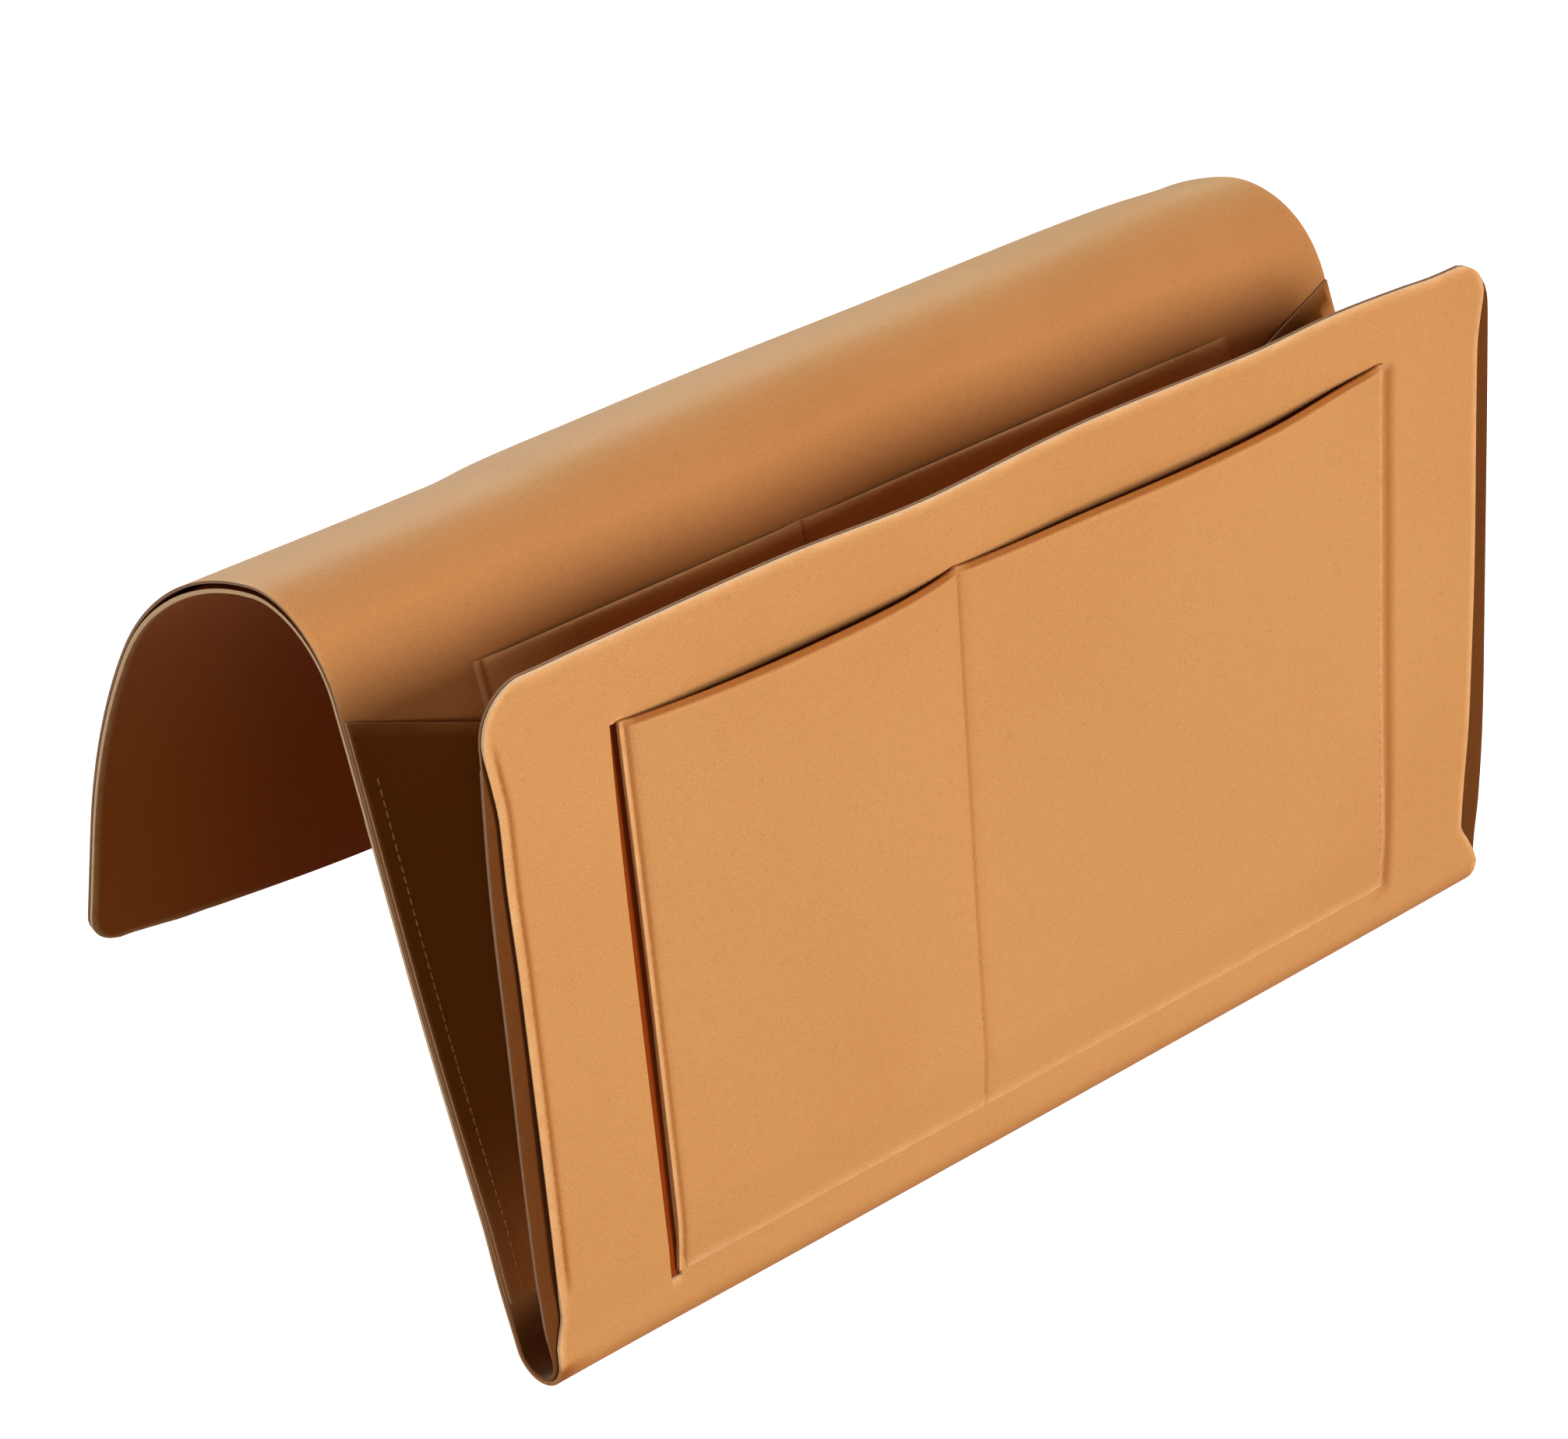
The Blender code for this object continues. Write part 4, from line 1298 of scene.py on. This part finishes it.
    def _seam_spots(self, x: float) -> Callable[[float], tuple[Vector, Vector, Vector]]:
        """Stitch places along a seam at x, on the pocket's surface."""
        def spots(height: float) -> tuple[Vector, Vector, Vector]:
            here = self._place(x, height)
            along = (self._place(x, height + 0.001) - self._place(x, height - 0.001)).normalized()
            out = Vector((1, 0, 0)).cross(along).normalized()
            if out.dot(self.facing) < 0:
                out = -out
            return here + out * (self.drape.lining / 2 - 0.00005), along, out
        return spots


@dataclass
class Gusset:
    """A folded gusset that closes one end of the magazine pocket."""

    side: Side
    drape: Drape
    finishes: Finishes
    cut: SheetCut
    tab_inset: float = 0.0005
    tab_width: float = 0.008
    foot_on_leg: float = 0.014
    head_on_leg: float = 0.203
    foot_on_panel: float = 0.007
    head_on_panel: float = 0.2004
    fold_depth: float = 0.061
    fold_foot: float = 0.011
    top_drop: float = 0.023
    lift: float = 0.0032
    seam_inset: float = 0.0055
    rest_depth: float = 0.00195
    crease_reach: float = 0.0030
    crease_reach_foot: float = 0.0075
    bend_reach: float = 0.0030
    front_head: float = 0.058
    front_foot: float = 0.020
    front_taper: float = 0.98
    tab_gap: float = 0.0007
    levels: int = 40
    sunk: float = 0.00055

    def build(self) -> None:
        """Builds the rear half with its crease, the front half, its sewn tab, and both seams."""
        self.word = self.side.name.lower()
        shares = [index / self.levels for index in range(self.levels + 1)]
        rear_marks = merged(spaced(0, 1, 1 / 6), spaced(1, 2, 1 / 14), spaced(2, 3, 1 / 8),
                            apart=0.001)
        front_marks = merged(spaced(3, 4, 1 / 14), spaced(4, 4.5, 1 / 6), apart=0.001)
        tab_marks = merged(spaced(4.5, 5, 1 / 6), spaced(5, 6, 1 / 6), apart=0.001)
        rear = LeatherSheet(self.word + "_gusset_rear_leather", rear_marks, shares, self._place,
                            Vector((0, -1, 0)), self.finishes.gusset, self.drape.leather,
                            edge_band=0.02, shade=self._shade).build(self.finishes)
        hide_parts(self.word + "_gusset_rear")
        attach(rear, "front_leg")
        outward = Vector((self.side.value, 0.6, 0))
        front = LeatherSheet(self.word + "_gusset_front_leather", front_marks, shares, self._place,
                             outward, self.finishes.gusset, self.drape.leather,
                             hinged=(False, True), edge_band=0.02, shade=self._shade)
        front = front.build(self.finishes)
        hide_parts(self.word + "_gusset_front")
        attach(front, self.word + "_gusset")
        tab = LeatherSheet(self.word + "_gusset_tab_leather", tab_marks, shares, self._place,
                           outward, self.finishes.gusset, self.drape.leather,
                           hinged=(True, False), edge_band=0.02, shade=self._shade)
        tab = tab.build(self.finishes)
        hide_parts(self.word + "_gusset_tab")
        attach(tab, "front_panel")
        self._leg_seam()
        self._panel_seam()

    def _shade(self, mark: float, share: float) -> float:
        """Painted shade: 1 inside the fold, falling to 0 over the tabs that catch light, and weaker toward
        the foot.
        """
        tab = 0.0 if self.side is Side.LEFT else 1.3 * ease(1.0, 0.92, share)
        return hill(mark, tab - 0.2, tab, 4.0, 5.0) * (0.40 + 0.60 * ease(0.0, 0.34, share))

    def _corners(self, share: float) -> tuple[Vector, Vector, Vector, Vector, Vector]:
        """Leg edge, leg tab, crease, panel tab and panel edge at a share of the height."""
        half, side = self.drape.half_width, self.side.value
        outer = half - self.tab_inset
        inner = outer - self.tab_width
        depth = self.fold_foot + (self.fold_depth - self.fold_foot) * share
        slope = self.top_drop / (outer - (half - self.fold_depth))

        def on_leg(x: float, rise: float) -> Vector:
            """A point of the rear half, below its sloping top edge."""
            top = self.head_on_leg - (outer - x) * slope
            height = self.foot_on_leg + (top - self.foot_on_leg) * share
            reached = side * x + self.cut.reach(side * x, self.drape.leg(height))
            return self.drape.leg_at(reached, height, self.rest_depth + rise)

        height = self.foot_on_panel + (self.head_on_panel - self.foot_on_panel) * share
        run = self.drape.panel(height)
        tab = self.cut.fitted(side * outer, run, Ply.COVER)
        flared = self.rest_depth + self.cut.flare(side * outer, run)
        return (on_leg(outer, 0), on_leg(inner, 0), on_leg(half - depth, self.lift * share),
                self.drape.panel_at(side * (inner - self.tab_gap), height, self.rest_depth),
                self.drape.panel_at(tab, height, flared))

    def _place(self, mark: float, share: float) -> Vector:
        """A point of the gusset.

        Args:
            mark: 0 at the leg's edge, 1 at its tab, 2 to 3 round the crease, 5 at the panel's tab
                and 6 at the panel's edge.
            share: 0 at the foot and 1 at the top edge.

        Returns:
            The point on the leather's middle.
        """
        leg_edge, leg_tab, crease, panel_tab, panel_edge = self._corners(share)
        narrowing = (self.crease_reach - self.crease_reach_foot) * ease(0, 0.4, share)
        reach = self.crease_reach_foot + narrowing
        to_leg = leg_tab - crease
        to_panel = panel_tab - crease
        reach = min(reach, to_leg.length * 0.8, to_panel.length * 0.45)
        before = crease + to_leg.normalized() * reach
        after = crease + to_panel.normalized() * reach
        hinge_before = panel_tab - to_panel.normalized() * self.bend_reach
        hinge_after = panel_tab + (panel_edge - panel_tab).normalized() * self.bend_reach
        if mark <= 1:
            return leg_edge.lerp(leg_tab, mark)
        if mark <= 2:
            return leg_tab.lerp(before, mark - 1)
        if mark <= 3:
            return self._bend(before, crease, after, mark - 2)
        if mark <= 4:
            return after.lerp(hinge_before, mark - 3)
        if mark <= 5:
            return self._bend(hinge_before, panel_tab, hinge_after, mark - 4)
        return hinge_after.lerp(panel_edge, mark - 5)

    def _bend(self, start: Vector, corner: Vector, end: Vector, share: float) -> Vector:
        """A point on the round bend from start to end, inside a corner."""
        return start.lerp(corner, share).lerp(corner.lerp(end, share), share)

    def _leg_seam(self) -> None:
        """The stitches that hold the rear half to the leg's edge."""
        flat = self.side.value * (self.drape.half_width - self.seam_inset)

        def spots(height: float) -> tuple[Vector, Vector, Vector]:
            """Stitch places on the leg's tab."""
            x = flat + self.cut.reach(flat, self.drape.leg(height))
            depth = self.rest_depth + self.drape.leather / 2 + 0.0001
            here = self.drape.leg_at(x, height, depth)
            along = (self.drape.leg_at(x, height + 0.001, depth) - here).normalized()
            return here, along, along.cross(Vector((1, 0, 0))).normalized()

        seam = Seam(self.word + "_leg_stitches", spots, self.foot_on_leg + 0.002,
                    self.drape.leg_length - self.top_drop)
        stitches = seam.build(self.finishes)
        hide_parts(self.word + "_leg_seam_thread")
        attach(stitches, "front_leg")

    def _panel_seam(self) -> None:
        """The stitches beside the front panel's edge."""
        flat = self.side.value * (self.drape.half_width - self.cut.seam_inset)

        def spots(height: float) -> tuple[Vector, Vector, Vector]:
            """Stitch places on the front panel's face."""
            x = self.cut.fitted(flat, self.drape.panel(height), Ply.LINING)
            here = self.drape.panel_at(x, height, -self.drape.face + self.sunk)
            return here, Vector((0, 0, 1)), Vector((0, -1, 0))

        seam = Seam(self.word + "_panel_stitches", spots, self.cut.seam_foot, self.cut.seam_head)
        stitches = seam.build(self.finishes)
        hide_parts(self.word + "_panel_seam_thread")
        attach(stitches, "front_panel")


@dataclass
class Studio:
    """Plain pale floor, white surroundings, soft lamps and the camera."""

    camera_place: tuple[float, float, float] = (-0.7122, -0.8945, 0.4989)
    azimuth: float = radians(-37.95)
    elevation: float = radians(28.47)
    roll: float = radians(-4.84)
    focal_pixels: float = 5100.0
    frame_pixels: float = 2013.0
    sensor: float = 36.0
    ambient: float = 0.02
    floor_reach: float = 6.0
    floor_drop: float = 0.0160

    def build(self, lowest: float) -> None:
        """Sets the stage round the object.

        Args:
            lowest: Height of the object's lowest point.
        """
        self._world()
        self._floor(lowest - self.floor_drop)
        self._lamp("key_lamp", (0.85, -5.10, 1.70), 1.8, 294.0)
        self._lamp("top_lamp", (0.10, 0.90, 2.2), 1.5, 24.0)
        self._lamp("rear_lamp", (0.6, 2.2, 0.9), 1.6, 32.0)
        self._lamp("fill_lamp", (-2.1, -2.3, 0.2), 1.2, 20.0)
        self._lamp("left_lamp", (-2.4, 0.35, 0.1), 0.8, 22.0)
        self._camera()
        bpy.context.scene.view_settings.view_transform = "Standard"

    def _seen(self, tree: bpy.types.NodeTree) -> bpy.types.NodeSocket:
        """1 for camera, glossy and transmission rays, which see the white surroundings."""
        path = add_node(tree, "ShaderNodeLightPath")
        first = add_node(tree, "ShaderNodeMath", operation="MAXIMUM")
        second = add_node(tree, "ShaderNodeMath", operation="MAXIMUM")
        tree.links.new(path.outputs["Is Camera Ray"], first.inputs[0])
        tree.links.new(path.outputs["Is Glossy Ray"], first.inputs[1])
        tree.links.new(first.outputs["Value"], second.inputs[0])
        tree.links.new(path.outputs["Is Transmission Ray"], second.inputs[1])
        return second.outputs["Value"]

    def _world(self) -> None:
        """White surroundings that light the object gently."""
        world = bpy.data.worlds.new("surroundings")
        bpy.context.scene.world = world
        world.use_nodes = True
        tree = world.node_tree
        lit = tree.nodes["Background"]
        set_values(lit, {"Color": (1.0, 0.98, 0.96, 1), "Strength": self.ambient})
        white = add_node(tree, "ShaderNodeBackground")
        set_values(white, {"Color": (1, 1, 1, 1), "Strength": 1.0})
        mix = add_node(tree, "ShaderNodeMixShader")
        tree.links.new(self._seen(tree), mix.inputs["Fac"])
        tree.links.new(lit.outputs["Background"], mix.inputs[1])
        tree.links.new(white.outputs["Background"], mix.inputs[2])
        tree.links.new(mix.outputs["Shader"], tree.nodes["World Output"].inputs["Surface"])

    def _floor(self, ground: float) -> None:
        """A pale floor that keeps the object's shadow."""
        deselect_all()
        bpy.ops.mesh.primitive_circle_add(vertices=96, radius=self.floor_reach, fill_type="NGON",
                                          location=(0, 0, ground))
        floor = bpy.context.object
        floor.name = "floor"
        finish = bpy.data.materials.new("pale_floor")
        finish.use_nodes = True
        tree = finish.node_tree
        shader = tree.nodes["Principled BSDF"]
        set_values(shader, {"Base Color": (0.12, 0.12, 0.12, 1), "Roughness": 0.9,
                            "Specular IOR Level": 0.1})
        pale = add_node(tree, "ShaderNodeBsdfDiffuse")
        set_values(pale, {"Color": (0.62, 0.62, 0.62, 1)})
        glow = add_node(tree, "ShaderNodeEmission")
        set_values(glow, {"Strength": 0.93})
        both = add_node(tree, "ShaderNodeAddShader")
        mix = add_node(tree, "ShaderNodeMixShader")
        link = tree.links.new
        link(pale.outputs["BSDF"], both.inputs[0])
        link(glow.outputs["Emission"], both.inputs[1])
        link(self._seen(tree), mix.inputs["Fac"])
        link(shader.outputs["BSDF"], mix.inputs[1])
        link(both.outputs["Shader"], mix.inputs[2])
        link(mix.outputs["Shader"], tree.nodes["Material Output"].inputs["Surface"])
        floor.data.materials.append(finish)
        floor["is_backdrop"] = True

    def _lamp(self, name: str, place: tuple[float, float, float], size: float,
              power: float) -> None:
        """A square soft lamp that looks at the object."""
        data = bpy.data.lights.new(name, "AREA")
        data.shape = "SQUARE"
        data.size = size
        data.energy = power
        lamp = bpy.data.objects.new(name, data)
        bpy.context.scene.collection.objects.link(lamp)
        lamp.location = place
        lamp.rotation_mode = "QUATERNION"
        lamp.rotation_quaternion = (Vector((0, 0, -0.1)) - Vector(place)).to_track_quat("-Z", "Y")

    def _camera(self) -> None:
        """The camera at the photograph's place, turned by its azimuth, elevation and roll."""
        data = bpy.data.cameras.new("camera")
        data.sensor_fit = "HORIZONTAL"
        data.sensor_width = self.sensor
        data.lens = self.focal_pixels * self.sensor / self.frame_pixels
        data.clip_end = 100
        camera = bpy.data.objects.new("camera", data)
        bpy.context.scene.collection.objects.link(camera)
        a, e = self.azimuth, self.elevation
        back = Vector((sin(a) * cos(e), -cos(a) * cos(e), sin(e)))
        level = (-back).cross(Vector((0, 0, 1))).normalized()
        upright = level.cross(-back)
        right = level * cos(self.roll) + upright * sin(self.roll)
        up = upright * cos(self.roll) - level * sin(self.roll)
        camera.matrix_world = (Matrix.Translation(self.camera_place)
                               @ Matrix((right, up, back)).transposed().to_4x4())
        bpy.context.scene.camera = camera


def main() -> None:
    """Builds the organizer and its studio, piece by piece."""
    logging.basicConfig(level=logging.INFO, format="%(message)s")
    cad_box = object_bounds()
    drape = Drape()
    finishes = Finishes()
    cut = SheetCut(drape)
    sheets = DrapePieces(drape, cut, finishes)
    sheets.build()
    Pocket("front_pocket", drape, finishes, drape.panel_at, -1, "front_panel", Vector((0, -1, 0)),
           foot_sunk=0.0015, head_rise=0.0035, lip_painted_shade=1.0, left_lean=0.0022).build()
    Pocket("inner_pocket", drape, finishes, drape.leg_at, 1, "front_leg", Vector((0, -1, 0)),
           head=0.2015, gape=0.0022, lip=0.0008, tones=(1.0, 0.6, 0.3)).build()
    for side, head in ((Side.LEFT, 0.2004), (Side.RIGHT, 0.2060)):
        Gusset(side, drape, finishes, cut, head_on_leg=head).build()
        log.info("%s gusset is sewn in", side.name.lower())
    Studio().build(cad_box[0].z)


if __name__ == "__main__":
    main()
